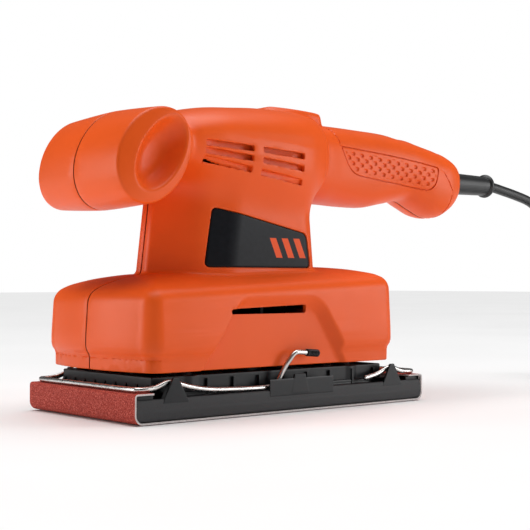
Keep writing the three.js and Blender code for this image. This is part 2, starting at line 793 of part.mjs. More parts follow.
/** A plate with round long edges and slightly rounded ends. */
function roundPlate(reach, half, z0, z1, round) {
  const outline = new THREE.Shape();
  outline.moveTo(-half + round, z0);
  outline.lineTo(half - round, z0);
  outline.absarc(half - round, z0 + round, round, -Math.PI / 2, 0, false);
  outline.lineTo(half, z1 - round);
  outline.absarc(half - round, z1 - round, round, 0, Math.PI / 2, false);
  outline.lineTo(-half + round, z1);
  outline.absarc(-half + round, z1 - round, round, Math.PI / 2, Math.PI, false);
  outline.lineTo(-half, z0 + round);
  outline.absarc(-half + round, z0 + round, round, Math.PI, Math.PI * 1.5, false);
  const geometry = new THREE.ExtrudeGeometry(outline, {
    depth: 2 * reach,
    bevelEnabled: false,
    curveSegments: 4,
  });
  return solid(geometry.rotateX(Math.PI / 2).rotateZ(Math.PI / 2).translate(-reach, 0, 0));
}

/** The round lower and upper edges that the paper bends over, as a cutter for plate ends. */
function endRounding(shape) {
  const { bottomBend, topBend, thick } = sheet;
  const low = bottomBend - thick;
  const high = Math.max(topBend - thick, 0.3);
  const [reach, bottom, top] = [baseReach, padBottom, clampTop];
  const outline = new THREE.Shape();
  outline.moveTo(-reach + low, bottom);
  outline.lineTo(reach - low, bottom);
  outline.absarc(reach - low, bottom + low, low, -Math.PI / 2, 0, false);
  outline.lineTo(reach, top - high);
  outline.absarc(reach - high, top - high, high, 0, Math.PI / 2, false);
  outline.lineTo(reach - high, FAR);
  outline.lineTo(-reach + high, FAR);
  outline.lineTo(-reach + high, top);
  outline.absarc(-reach + high, top - high, high, Math.PI / 2, Math.PI, false);
  outline.lineTo(-reach, bottom + low);
  outline.absarc(-reach + low, bottom + low, low, Math.PI, Math.PI * 1.5, false);
  const settings = { depth: 2 * FAR, bevelEnabled: false, curveSegments: 5 };
  const geometry = new THREE.ExtrudeGeometry(outline, settings).rotateX(Math.PI / 2);
  return shape.intersect(solid(geometry.translate(0, FAR, 0)));
}

function backingPad() {
  return endRounding(roundPlate(baseReach, pad.width / 2, padBottom, padBottom + pad.thick, 0.8));
}

/** What one clamp needs at its own end of the platen: a saddle, a channel and a catch. */
function clampSeats() {
  const { x, y, z, foot } = fulcrum;
  const saddleTop = z - wire.radius - CLEARANCE;
  const saddle = (side) =>
    sidePrism(
      [
        [x - foot, platenBottom + 2],
        [x + foot, platenBottom + 2],
        [x + 1.4, saddleTop],
        [x - 1.4, saddleTop],
      ],
      side * y - 1.5,
      side * y + 1.5,
    );
  const { front, rear, top, inner, outer, lug } = catchWall;
  const wall = box(rear, front, inner, outer, platenBottom + 1, top);
  const ledge = box(rear, front, inner - 0.6, outer, platenBottom + 1, platenBottom + 2.6);
  const tooth = sidePrism(
    [
      [lug - 6, platenBottom + 2],
      [lug + 6, platenBottom + 2],
      [lug + 3.5, top + 2],
      [lug - 3.5, top + 2],
    ],
    inner - 0.2,
    outer,
  );
  return join(saddle(1), saddle(-1), wall, ledge, tooth);
}

function clampChannel() {
  const reach = wire.radius + CLEARANCE;
  const { y } = fulcrum;
  return box(catchWall.rear + 18, fulcrum.x - fulcrum.foot - 0.5, y - reach, y + reach, platen.grooveFloor, FAR);
}

const halfTurn = (shape) => shape.rotate([0, 0, 180]);

function platenPlate() {
  const half = platen.width / 2;
  const { edgeTop, deckHalf, wallHalf, wallTop, wallFront, wallRear, wallThick, endDeck, edgeRound } = platen;
  const round = Math.min(edgeRound, (edgeTop - platenBottom) / 2 - 0.05);
  const base = roundPlate(baseReach, half, platenBottom, edgeTop, round);
  const deck = box(-baseReach, baseReach, -deckHalf, deckHalf, platenBottom + 1, clampTop);
  const end = box(baseReach - endDeck, baseReach, -half + 0.4, half - 0.4, platenBottom + 1, clampTop);
  const wall = box(wallRear, wallFront, -wallHalf, wallHalf, clampTop - 1, wallTop).subtract(
    box(wallRear + wallThick, wallFront - wallThick, wallThick - wallHalf, wallHalf - wallThick, 0, FAR),
  );
  const rib = (y) => box(wallRear + 1, wallFront - 1, y - 1, y + 1, clampTop - 1, wallTop - 2);
  const crossRib = (x) => box(x - 1, x + 1, 1 - wallHalf, wallHalf - 1, clampTop - 1, wallTop - 2);
  const sockets = socketPlaces().map(([x, y]) =>
    post(socketBore() + leg.wall, clampTop - 2, wallTop - 0.4, x, y, 16),
  );
  const hubRadius = bearing608.outer + 4;
  const hub = post(hubRadius, clampTop - 2, seats.eccentric + bearing608.width, orbit, 0, 24);
  const body = join(
    base,
    deck,
    end,
    halfTurn(end),
    wall,
    rib(14),
    rib(-14),
    crossRib(36),
    crossRib(-34),
    ...sockets,
    hub,
    clampSeats(),
    halfTurn(clampSeats()),
  );
  const cuts = [
    clampChannel(),
    halfTurn(clampChannel()),
    post(bearing608.outer + CLEARANCE / 2, seats.eccentric - CLEARANCE, FAR, orbit, 0, 24),
    post(8, clampTop - 3, FAR, orbit, 0, 20),
    ...socketPlaces().map(([x, y]) => post(socketBore(), leg.bottom - CLEARANCE, FAR, x, y, 16)),
  ];
  return endRounding(cuts.reduce((rest, cut) => rest.subtract(cut), body));
}

const legPlaces = () => [leg.front, leg.rear].flatMap((x) => [1, -1].map((side) => [x, side * leg.y]));
/** At rest the platen is at the front of its travel, so its sockets are that far ahead of the legs. */
const socketPlaces = () => legPlaces().map(([x, y]) => [x + orbit, y]);
const socketBore = () => leg.end + orbit + CLEARANCE + 0.1;

/** A flexible leg that carries the platen and lets it orbit. */
function platenLeg(x, y) {
  const { end, waist, bottom, top, socketDepth } = leg;
  const low = bottom + CLEARANCE;
  const collar = top - socketDepth;
  return turned(
    [
      [0, low],
      [end, low],
      [end, low + 5],
      [waist, low + 9],
      [waist, collar - 5],
      [end, collar - 1],
      [end, top],
      [0, top],
    ],
    x,
    y,
    14,
  );
}

/** The paper: one strip that runs under the pad and folds over both ends of the platen. */
function abrasiveSheet() {
  const { width, length, thick, height, fold, bottomBend, topBend } = sheet;
  const outlineSide = (inset) => {
    const [reach, low, high] = [length / 2 - inset, bottomBend - inset, topBend - inset];
    const path = new THREE.Path();
    path.moveTo(-length / 2 + fold, height - inset);
    path.lineTo(-reach + high, height - inset);
    path.absarc(-reach + high, height - inset - high, high, Math.PI / 2, Math.PI, false);
    path.absarc(-reach + low, inset + low, low, Math.PI, Math.PI * 1.5, false);
    path.absarc(reach - low, inset + low, low, -Math.PI / 2, 0, false);
    path.absarc(reach - high, height - inset - high, high, 0, Math.PI / 2, false);
    path.lineTo(length / 2 - fold, height - inset);
    return path.getPoints(5);
  };
  const outline = new THREE.Shape([...outlineSide(0), ...outlineSide(thick).reverse()]);
  const geometry = new THREE.ExtrudeGeometry(outline, { depth: width, bevelEnabled: false });
  return solid(geometry.rotateX(Math.PI / 2).translate(0, width / 2, 0));
}

const leverEnd = new THREE.Vector3(-8.4, fulcrum.y + 3.5, 28.9);

/** The front clamp's wire, from its tail on the right, across the paper, to its lever on the left. */
function clampWire() {
  const { x, y, z } = fulcrum;
  const barX = sheet.length / 2 - 3.4;
  const barZ = sheet.height + wire.radius + CLEARANCE;
  const side = (s) => [
    [barX, s * (y - 4), barZ],
    [barX - 0.8, s * (y - 0.8), barZ],
    [barX - 3.6, s * y, barZ],
    [x + 8, s * y, barZ + 0.6],
    [x + 2.4, s * y, z - 0.3],
    [x, s * y, z],
    [x - 2.6, s * y, z - 0.4],
  ];
  const tail = [
    [x - 10, -y, 15.4],
    [x - 19, -y, 13.6],
  ];
  const arm = [
    [61, y, 15.4],
    [50, y, 13.6],
    [34, y, 12.8],
    [16, y, 12.6],
    [8.5, y, 13.4],
  ];
  const lever = [
    [5.2, y + 0.2, 18.4],
    [2.2, y + 2.5, 25],
    [-1.2, y + 3.5, 29],
    [-4, y + 3.5, 29.3],
    [...leverEnd],
  ];
  const across = [...side(-1).reverse(), [barX, 0, barZ], ...side(1)];
  return tube(smooth([...tail.reverse(), ...across, ...arm, ...lever]), wire.radius, 56, 6);
}

function clampCap() {
  const back = new THREE.Vector3(1, 0, 0.08).normalize();
  const { capRadius, capLength } = wire;
  const start = leverEnd.clone().addScaledVector(back, -CLEARANCE);
  const profile = [
    [0, 0],
    [capRadius - 0.3, 0],
    [capRadius, 0.6],
    [capRadius, capLength - 1],
    [capRadius - 0.9, capLength],
    [0, capLength],
  ].map(([r, s]) => new THREE.Vector2(r, s));
  const geometry = new THREE.LatheGeometry(profile, 14);
  const turn = new THREE.Quaternion().setFromUnitVectors(new THREE.Vector3(0, 1, 0), back.negate());
  return solid(geometry.applyQuaternion(turn).translate(start.x, start.y, start.z));
}

// ---------------------------------------------------------------- cable

const CORD_ROUTE = [
  [-208.3, 0, 125],
  [-215, 0, 124.4],
  [-224, 0, 122.9],
  [-238, 0, 120.4],
  [-252.9, -0.1, 116.8],
  [-267, -0.6, 109.5],
  [-277.5, -1.6, 97.5],
  [-283.8, -3.2, 83],
  [-288, -5.2, 66],
  [-291, -7.2, 50],
  [-292.5, -8.6, 38.5],
  [-294.6, -9.5, 29],
  [-299, -10, 20.4],
];

function cordTube() {
  return tube(smooth(CORD_ROUTE), cord.radius, 16, cord.sides);
}

const coilHalf = (coil.columns * coil.pitch) / 2 + cord.radius + 0.2;
const coilY = coil.start + coil.middle + (coil.columns * coil.pitch) / 2; // the cable meets its outermost turn
const tailY = coilY + coil.tailRadius;

/** The wound length of the cable, as the solid that its turns fill. */
function cordCoil() {
  const top = coil.layers * cord.radius * 2 + 0.4;
  return ring(coil.middle - coilHalf, coil.middle + coilHalf, 0, top, 0, 28).translate([coil.x, coilY, 0]);
}

/** The cable from the coil's edge to the plug. */
function cordTail() {
  const reach = coil.middle + coilHalf;
  const edge = Math.sqrt(reach ** 2 - (coil.tailRadius - cord.radius) ** 2) + 2 * CLEARANCE;
  const rise = plug.height / 2;
  const [start, end] = [coil.x + edge, plug.x - 5 * CLEARANCE];
  const points = [
    [start, tailY, cord.radius + 0.1],
    [(start + end) / 2, tailY, (cord.radius + rise) / 2],
    [end, tailY, rise],
  ];
  return tube(smooth(points), cord.radius, 3, cord.sides);
}

/** The flat two-pin plug, lying beside the coil. */
function plugBody() {
  const { x, length, width, height } = plug;
  const row = (along, halfWidth, halfHeight) =>
    crossRing(0, height / 2 - halfHeight, height / 2 + halfHeight, halfWidth, 20, 3).map((p) =>
      p.add(new THREE.Vector3(x + along, tailY, 0)),
    );
  return loft([
    row(0, 4.6, 4.4),
    row(9, 5.4, 4.8),
    row(15, 10, 6.2),
    row(22, width / 2 - 1, height / 2),
    row(length - 1, width / 2, height / 2),
    row(length, width / 2 - 0.8, height / 2 - 0.8),
  ]);
}

function plugPin(side) {
  const { x, length, height, pin, pinLength, pinPitch } = plug;
  const y = tailY + (side * pinPitch) / 2;
  const start = x + length + CLEARANCE;
  return longPin(pin, start, start + pinLength, y, height / 2, 14);
}

// ---------------------------------------------------------------- materials and assembly

const material = (color, roughness, metalness = 0) =>
  new THREE.MeshStandardMaterial({ color, roughness, metalness });

const finish = {
  orange: material(0xe8541a, 0.42),
  gloss: material(0x111111, 0.2),
  black: material(0x1b1b1c, 0.55),
  foam: material(0x242424, 0.9),
  grit: material(0x7c2a1c, 0.95),
  zinc: material(0xb9bbb6, 0.35, 0.9),
  steel: material(0xa7a9ac, 0.3, 1),
  laminations: material(0x6f7274, 0.5, 0.8),
  copper: material(0xb46a3c, 0.35, 0.9),
  brass: material(0xc9a14a, 0.35, 0.9),
  carbon: material(0x2b2b2d, 0.8),
  rubber: material(0x161617, 0.75),
};

const sander = new THREE.Group();

/** Adds one solid to a group as a named mesh. */
function addPiece(name, shape, look, group = sander) {
  const mesh = new THREE.Mesh(geometryOf(shape), look);
  mesh.name = name;
  group.add(mesh);
}

function addHousing() {
  addPiece("left_shell", shell(1), finish.orange);
  addPiece("right_shell", shell(-1), finish.orange);
  addPiece("left_badge", badgeSolid(1), finish.gloss);
  addPiece("right_badge", badgeSolid(-1), finish.gloss);
  SCREWS.forEach(([name, x, z]) => addPiece(`shell_screw_${name}`, shellScrew(x, z), finish.zinc));
  addPiece("switch_rocker", switchRocker(), finish.black);
  addPiece("switch_body", switchBody(), finish.black);
  addPiece("strain_relief", strainRelief(), finish.rubber);
  addPiece("cord_clamp", clampBar(), finish.black);
  addPiece("cord_clamp_screw_left", clampScrew(1), finish.zinc);
  addPiece("cord_clamp_screw_right", clampScrew(-1), finish.zinc);
}

function addMotor() {
  const top = stator.bottom + stator.height;
  addPiece("stator_core", statorCore(), finish.laminations);
  addPiece("field_coil_left", fieldCoil(1), finish.copper);
  addPiece("field_coil_right", fieldCoil(-1), finish.copper);
  addPiece("armature_shaft", armatureShaft(), finish.steel);
  addPiece("armature_core", armatureCore(), finish.laminations);
  addPiece("armature_winding_lower", winding(armature.lowerEnd, stator.bottom + 1 - CLEARANCE), finish.copper);
  addPiece("armature_winding_upper", winding(top - 1 + CLEARANCE, armature.upperEnd), finish.copper);
  addPiece("commutator", commutatorRing(), finish.copper);
  addPiece("cooling_fan", coolingFan(), finish.black);
  addPiece("counterweight", counterweight(), finish.steel);
  addPiece("eccentric_screw", eccentricScrew(), finish.zinc);
  [
    ["lower", bearing608, seats.lower, 0],
    ["upper", bearing698, seats.upper, 0],
    ["eccentric", bearing608, seats.eccentric, orbit],
  ].forEach(([name, size, z, x]) => {
    addPiece(`${name}_bearing_inner_race`, race(size, z, "inner", x), finish.steel);
    addPiece(`${name}_bearing_outer_race`, race(size, z, "outer", x), finish.steel);
  });
  [
    ["left", 1],
    ["right", -1],
  ].forEach(([name, side]) => {
    addPiece(`brush_holder_${name}`, brushHolder(side), finish.brass);
    addPiece(`carbon_brush_${name}`, carbonBrush(side), finish.carbon);
    addPiece(`brush_spring_${name}`, brushSpring(side), finish.steel);
  });
}

function addPlaten() {
  addPiece("platen", platenPlate(), finish.black);
  addPiece("backing_pad", backingPad(), finish.foam);
  addPiece("abrasive_sheet", abrasiveSheet(), finish.grit);
  legPlaces().forEach(([x, y]) => {
    const name = `platen_leg_${x > 0 ? "front" : "rear"}_${y > 0 ? "left" : "right"}`;
    addPiece(name, platenLeg(x, y), finish.rubber);
  });
}

/** The two paper clamps are the same piece: the rear one is turned half round. */
function addClamps() {
  [
    ["front", 0],
    ["rear", Math.PI],
  ].forEach(([name, turn]) => {
    const group = new THREE.Group();
    group.rotation.z = turn;
    addPiece(`${name}_clamp_wire`, clampWire(), finish.zinc, group);
    addPiece(`${name}_clamp_cap`, clampCap(), finish.black, group);
    sander.add(group);
  });
}

function addCord() {
  addPiece("cord_tube", cordTube(), finish.rubber);
  addPiece("cord_coil", cordCoil(), finish.rubber);
  addPiece("cord_tail", cordTail(), finish.rubber);
  addPiece("plug_body", plugBody(), finish.rubber);
  addPiece("plug_pin_left", plugPin(1), finish.brass);
  addPiece("plug_pin_right", plugPin(-1), finish.brass);
}

addHousing();
addMotor();
addPlaten();
addClamps();
addCord();

export default sander;
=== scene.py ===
"""The looks of a corded orbital sander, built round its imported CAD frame.

Shapes are worked out in millimetres, in the frame's axes: +X is the front, +Y the left and +Z up.
The moulded pieces are described by signed distances (negative inside), and meshed where they are zero.
"""

import functools
import itertools
import math

import bpy
import numpy as np
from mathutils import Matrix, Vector
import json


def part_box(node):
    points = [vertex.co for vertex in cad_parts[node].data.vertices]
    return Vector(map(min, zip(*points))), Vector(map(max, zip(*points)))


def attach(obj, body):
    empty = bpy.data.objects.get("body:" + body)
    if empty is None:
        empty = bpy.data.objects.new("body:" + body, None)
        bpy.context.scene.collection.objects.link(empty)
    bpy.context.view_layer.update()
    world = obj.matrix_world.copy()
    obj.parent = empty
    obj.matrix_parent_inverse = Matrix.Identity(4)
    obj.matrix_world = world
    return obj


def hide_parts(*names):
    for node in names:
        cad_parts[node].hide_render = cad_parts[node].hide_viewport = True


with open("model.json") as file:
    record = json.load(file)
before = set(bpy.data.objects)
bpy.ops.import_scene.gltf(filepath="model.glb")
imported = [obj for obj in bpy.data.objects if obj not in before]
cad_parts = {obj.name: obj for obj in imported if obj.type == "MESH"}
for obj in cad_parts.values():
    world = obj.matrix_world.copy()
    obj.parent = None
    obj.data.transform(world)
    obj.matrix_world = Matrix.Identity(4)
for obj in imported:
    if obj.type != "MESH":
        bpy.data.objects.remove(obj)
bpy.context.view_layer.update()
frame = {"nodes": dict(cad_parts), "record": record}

MM = 0.001
CELL = 0.7  # the mesher's grid, for the housing
FINE_CELL = 0.45  # for smaller mouldings

# ---------------------------------------------------------------- sizes, in mm

GAP = 0.3
WALL = 2.5

SKIRT = dict(
    rim=22.5, front=91.1, rear=-75.7, half=46.0, bow=4.8, flat=37.0, corner=9.0, slope=7.0, lean_from=38.0,
    lean_over=20.0,
)
SKIRT_SIDE = [
    (20, 2.3), (22.5, 2.2), (28.0, 2.1), (28.4, 2.35), (28.8, 1.9), (29.4, 1.85), (30.2, 1.5), (31.2, 0.8),
    (32.6, 0.25), (34.2, 0.02), (36, 0.0), (46, 0.5), (56, 1.15), (66, 2.2),
]
DECK = [(0, 0.0), (2, 1.4), (5, 3.0), (10, 4.9), (20, 7.3), (32, 8.7), (46, 9.0)]
DECK_EDGE = 57.9
DECK_SCALE = 0.93  # turns the height over the sloping deck into about a distance
NECK = dict(
    nose=60.8, nose_top=52.3, low=58.0, high=126.0, rear=-38.5, rear_top=-32.0, half=28.0, corner=12.0
)
NECK_CHEEK = dict(along=0.721, across=0.693, back=0.0, out=4.4)  # the slanting faces beside the nose's edge
NECK_SIDE = dict(along=0.292, across=0.956, back=17.4, out=22.5)
KNOB = dict(x=76.0, z=123.0, long=24.6, short=18.3, tilt=34.0, half=37.4, crown=0.075)
KNOB_BOWL = [
    (0, 9.2), (0.25, 8.9), (0.45, 7.6), (0.6, 5.2), (0.7, 2.9), (0.77, 1.0), (0.81, 0.3),
    (0.86, 0.0), (0.9, 0.0),
]
BOWL = dict(along=2.3, across=-1.8, long=24.4, short=14.2, rim=0.84)
KNOB_CONE = [(0, 0), (0.84, 0), (0.95, 0.35), (1.1, 1.05), (1.3, 2.1), (1.5, 3.2), (1.7, 4.3)]
COVER = [
    (-52, 118, 148.5, 14), (-47, 112, 152, 22), (-38, 106.5, 154.4, 29), (-24, 103.4, 155.4, 34),
    (-6, 104.2, 155.2, 36), (14, 107.4, 153.8, 36.4), (32, 111.4, 152, 36), (46, 114.8, 149, 34.4),
    (58, 117, 143, 31.5), (68, 116, 137, 29),
]
HANDLE = [
    (-40, 109, 150, 22), (-52, 107.6, 150.8, 20.5), (-62, 107.3, 150.9, 18.8), (-76, 106.7, 150.8, 17.4),
    (-90, 106.6, 150.5, 17), (-106, 109.2, 149.8, 17.4), (-120, 111.6, 148, 17.8), (-132, 107.4, 146, 18.4),
    (-144, 103, 143.8, 18.8), (-151, 102.6, 142.3, 18.8), (-157.5, 105.5, 140.2, 18),
    (-163.2, 110.5, 137.4, 15.5), (-166.5, 115, 133.8, 11.5), (-167.6, 118.5, 130.3, 7),
]
POD = [
    (-55.6, 138, 150.6, 8.4), (-53.4, 138, 153.6, 10.2), (-51, 138, 156.4, 11.6), (-46, 138, 156.8, 12.2),
    (-35.2, 138, 157.1, 13), (-19, 138, 157.4, 11.1), (-13, 138, 155.2, 6.5),
]
VENTS = dict(front=45.0, rear=-18.0, web=6.0, height=2.9, round=0.7, inner=20)
VENT_ROWS = [(128.5, 2.8), (123.5, 5.4), (118.0, 8.4)]  # the middle's lower edge, and the fall to the rear
RECESS = dict(top=57.5, top_front=31.0, top_rear=-20.0, face=45.5, floor=41.5)
RECESS_REAR = (-35, 22, 41.34)  # a wall's run, its rise and their length
RECESS_FRONT = (35, 24, 42.44)
# how far each wall leans in with depth, and the length of that slope
RECESS_LEAN = dict(top=(1.375, 1.70), rear=(1.2, 1.56), front=(0.25, 1.03))
SLOT = [(-13, 48.5), (38, 48.5), (38, 51.0), (-13, 52.8)]
SLOT_INNER = 33
BADGE = [(33, 101), (-26, 89), (-29, 71.5), (37.5, 71.5)]
BADGE_SUNK = 0.3
BADGE_THICK = 1.2
BADGE_INNER = 8
STRIPES = dict(starts=(-0.0600, -0.0520, -0.0440), width=0.0042, lean=0.45, low=0.0765, high=0.0865)  # metres
BOSS_RADIUS = 5.2
# each plate across the inside: its low and high faces, its reach along X and its bore
PLATES = [(60, 67, 30, 11.3), (132, 138, 15, 9.8), (86, 90, 40, 25.3), (104, 108, 40, 25.3)]
BAFFLE = dict(centre=(13.5, 31.4, 124), half=(34.5, 1.0, 14))  # the plate seen through the vents
SCREW = dict(head=3.5, shank=2.0, floor=8, tip=12.5)
SCREWS = dict(
    knob=(76, 123), nose=(38, 90), skirt_front=(74, 45), skirt_rear=(-65, 45), cover_rear=(-43, 117),
    handle_middle=(-100, 129), handle_rear=(-136, 128),
)
ROCKER = dict(x=-36.0, z=151.6, half=10.4, width=12.6, top=156.0, root=4.2, sunk=1.039, heel=152.7)
ROCKER_OPENING = dict(centre=(ROCKER["x"], 0, 196), half=(11.6, 6.9, 50), round_by=0.8)
RELIEF = dict(z=125.0, start=-156.0, bore=7.1, bore_end=-152)
LEGS = dict(front=56.0, rear=-49.0, y=30.0, end=5.5, waist=3.4, low=13.9, collar=46.0, top=55.0, wall=2.2)
ORBIT = 1.0  # how far the platen's centre is from the motor's axis
GRIP = [(-60.6, 138.7), (-141.4, 131.6), (-137.4, 117.2), (-68.4, 123.5)]
GRIP_ARCH = dict(rise=1.1, reach=39)
GRIP_DEEP = 0.95
LINE_HALF = 0.45
LINE_DEEP = 0.5
ROOT_LINE = dict(x=-60.6, bow=6, low=138.4, tall=12.6, stop=138.8)
CAP_LINE = dict(x=-141.9, top=131.6, tall=14, run=11.5, back=2.6, stop=131)
BLEND = dict(
    handle=1.2, pod=1.6, neck=12.0, knob=1.6, knob_more=5, knob_low=108, knob_tall=14, rim=1.3, skirt=2.4
)

SHEET = dict(width=93.0, length=189.0, thick=0.8, height=14.0, fold=10.5, low_bend=4.5, top_bend=1.6)
BASE_REACH = 93.4
PAD_LOW = 1.1
LEVER_END = (-8.4, 46.5, 28.9)
PIT = dict(along=3.6, up=2.7, deep=0.75)
PLATEN = dict(
    base=dict(centre=(0, 0, 8.85), half=(9, 45, 1.95), round_by=1.9),
    deck=dict(centre=(0, 0, 10.4), half=(9, 39.5, 2.5), round_by=0.4),
    ends=dict(centre=(0, 0, 10.4), half=(94, 44.6, 2.5), round_by=0.4),
    wall=dict(centre=(5, 0, 15.8), half=(75, 38.5, 4.6), round_by=0.7),
    hollow=dict(centre=(5, 0, 20), half=(72.6, 36.1, 12), round_by=0.6),
    channel=dict(centre=(28.8, 43, 17.9), half=(38.5, 1.55, 10), round_by=0.3),
)
SOCKET = dict(outer=9.1, inner=6.9, middle=15.4, half=4.6, floor=13.3)
HUB = dict(outer=15, middle=19, half=8.2, seat=11.15, seat_floor=19.9, hole=8, hole_floor=9.9)
SADDLE = dict(centre=(72.8, 43), low=8.9, high=16.75, low_half=(5, 1.5), high_half=(1.4, 1.4))
TOOTH = dict(centre=(-5, 45.65), low=8.9, high=18.4, low_half=(6, 0.6), high_half=(3.5, 0.6), round_by=0.3)
GUARD = dict(centre=(71.5, 45.45), low=8.9, high=20.4, low_half=(7.5, 0.7), high_half=(1.4, 0.6), round_by=0.3)
CATCH = dict(centre=(-6.45, 45.7, 12.15), half=(21.25, 0.5, 4.25), round_by=0.3)
LEDGE = dict(centre=(-6.45, 45.4, 8.7), half=(21.25, 0.8, 0.8), round_by=0.3)
PAD_SLAB = dict(centre=(0, 0, 3.85), half=(9, 46.2, 2.75), round_by=1.1)
PAD_LIP = dict(centre=(0, 45.5, 6.1), half=(9, 0.7, 5.0), round_by=0.65)
END_ROUND = 3.7
CLAMP_TOP = 12.9
CORD_RADIUS = 3.1
COIL = dict(x=-322.0, y=40.6, radius=50.6, pitch=6.5, top=9.6, low=3.2, turns_in=4.0, drop=0.35, turns_out=3.15)
PLUG = dict(x=-276.0, length=36.0, height=13.7)
PLUG_Y = COIL["y"] + 45.1
PLUG_HALF = [(0, 4.6), (9, 5.4), (15, 10), (22, 16.5), (35, 17.5), (36, 16.7)]
PLUG_TALL = [(0, 4.4), (9, 4.8), (15, 6.2), (22, 6.85), (35, 6.85), (36, 6.05)]

# the camera and the lights are placed in metres
CAMERA = dict(place=(0.3977, 0.4890, 0.0642), target=(-0.0122, 0.0107, 0.0730), lens=81.5, sensor=36)
LIT_POINT = (-0.02, 0, 0.08)
LIGHTS = [
    ("SUN", "overhead", (-0.1, -0.05, 1.2), 3.1, math.radians(60)),
    ("AREA", "front_box", (1.0, -0.66, 0.3), 5.5, (0.5, 0.6)),
    ("AREA", "side_box", (-0.92, 0.85, 0.34), 6.0, (0.5, 0.6)),
]
SURROUND_LIGHT = 0.06  # the white surround is seen at 1, and lights the object this weakly

# ---------------------------------------------------------------- camera and light


def look_at(thing, place, target):
    thing.location = place
    thing.rotation_euler = (Vector(target) - Vector(place)).to_track_quat("-Z", "Y").to_euler()
    bpy.context.scene.collection.objects.link(thing)
    return thing


def add_camera():
    data = bpy.data.cameras.new("camera")
    data.sensor_width = CAMERA["sensor"]
    data.lens = CAMERA["lens"]
    data.clip_end = 20
    camera = look_at(bpy.data.objects.new("camera", data), CAMERA["place"], CAMERA["target"])
    bpy.context.scene.camera = camera


def add_light(kind, name, place, power, size):
    data = bpy.data.lights.new(name, kind)
    data.energy = power
    if kind == "SUN":
        data.angle = size
    else:
        data.shape = "RECTANGLE"
        data.size, data.size_y = size
    look_at(bpy.data.objects.new(name, data), place, LIT_POINT)


def add_studio():
    """A broad overhead light, a soft box at each side, and a white surround that lights only weakly."""
    for light in LIGHTS:
        add_light(*light)
    world = bpy.data.worlds.new("studio")
    world.use_nodes = True
    tree = world.node_tree
    rays = tree.nodes.new("ShaderNodeLightPath")
    amount = tree.nodes.new("ShaderNodeMapRange")
    amount.inputs["To Min"].default_value = SURROUND_LIGHT
    amount.inputs["To Max"].default_value = 1.0
    tree.links.new(rays.outputs["Is Camera Ray"], amount.inputs["Value"])
    background = tree.nodes["Background"]
    background.inputs["Color"].default_value = (1, 1, 1, 1)
    tree.links.new(amount.outputs["Result"], background.inputs["Strength"])
    bpy.context.scene.world = world
    bpy.context.scene.view_settings.view_transform = "Standard"


# ---------------------------------------------------------------- cable route


def smooth_line(points, step):
    """Points along a centripetal Catmull-Rom curve through the given ones."""
    pts = [np.array(p, float) for p in points]
    pts = [2 * pts[0] - pts[1]] + pts + [2 * pts[-1] - pts[-2]]
    line = []
    for a, b, c, d in zip(pts, pts[1:], pts[2:], pts[3:]):
        ta, tb, tc = (max(np.linalg.norm(q - p) ** 0.5, 1e-6) for p, q in ((a, b), (b, c), (c, d)))
        start = (b - a) / ta - (c - a) / (ta + tb) + (c - b) / tb
        end = (c - b) / tb - (d - b) / (tb + tc) + (d - c) / tc
        count = max(2, int(np.ceil(np.linalg.norm(c - b) / step)))
        for i in range(count):
            t = i / count
            h = (2 * t**3 - 3 * t**2 + 1, t**3 - 2 * t**2 + t, 3 * t**2 - 2 * t**3, t**3 - t**2)
            line.append(h[0] * b + h[1] * start * tb + h[2] * c + h[3] * end * tb)
    line.append(pts[-2])
    return np.array(line)


def coil_line(count=40):
    """The wound length: in round the upper layer, down, and out round the lower one."""
    c = COIL
    inner = c["radius"] - c["pitch"] * c["turns_in"]
    total = c["turns_in"] + c["drop"] + c["turns_out"]
    out = []
    for s in np.linspace(0, total, int(total * count) + 1):
        after = max(0.0, s - c["turns_in"] - c["drop"])
        radius = max(c["radius"] - c["pitch"] * s, inner) + c["pitch"] * after
        fall = np.clip((s - c["turns_in"]) / c["drop"], 0, 1)
        turn = -math.pi / 2 - 2 * math.pi * s
        z = c["top"] + (c["low"] - c["top"]) * fall * fall * (3 - 2 * fall)
        out.append((c["x"] + radius * math.cos(turn), c["y"] + radius * math.sin(turn), z))
    return out


def cord_points():
    route = [
        (-203.5, 0, 125.1), (-208.3, 0, 125), (-215, 0, 124.4), (-224, 0, 122.9), (-238, 0, 120.4),
        (-252.9, -0.1, 116.8), (-267, -0.6, 109.5), (-277.5, -1.6, 97.5), (-283.8, -3.2, 83), (-288, -5.2, 66),
        (-291, -7.2, 50), (-292.5, -8.6, 38.5), (-294.6, -9.5, 29),
    ]
    bend = [
        (COIL["x"] + 30 * math.sin(a), COIL["y"] - COIL["radius"], COIL["top"] + 30 - 30 * math.cos(a))
        for a in np.radians([50, 40, 30, 20, 10])
    ]
    wound = coil_line()
    last = wound[-1]
    plug_z = PLUG["height"] / 2
    tail = [(last[0] + 14, last[1], 3.6), (last[0] + 30, last[1], 5.6), (PLUG["x"] + 4, last[1], plug_z)]
    lead = smooth_line(route + bend + wound[:1], 6)[:-1]
    end = smooth_line([last] + tail, 6)[1:]
    return np.concatenate([lead, np.array(wound), end])


def add_cord():
    points = cord_points() * MM
    data = bpy.data.curves.new("cord", "CURVE")
    data.dimensions = "3D"
    data.bevel_depth = CORD_RADIUS * MM
    data.bevel_resolution = 5
    data.use_fill_caps = True
    spline = data.splines.new("POLY")
    spline.points.add(len(points) - 1)
    for point, place in zip(spline.points, points):
        point.co = (*place, 1)
    cord = bpy.data.objects.new("cord", data)
    bpy.context.scene.collection.objects.link(cord)
    return cord


# ---------------------------------------------------------------- distance helpers


def smin(a, b, k):
    h = np.maximum(k - np.abs(a - b), 0) / k
    return np.minimum(a, b) - h * h * k / 4


def smax(a, b, k):
    return -smin(-a, -b, k)


def union(*fields):
    """Inside wherever any of the fields is inside."""
    return functools.reduce(np.minimum, fields)


def common(*fields):
    """Inside only where all of the fields are inside."""
    return functools.reduce(np.maximum, fields)


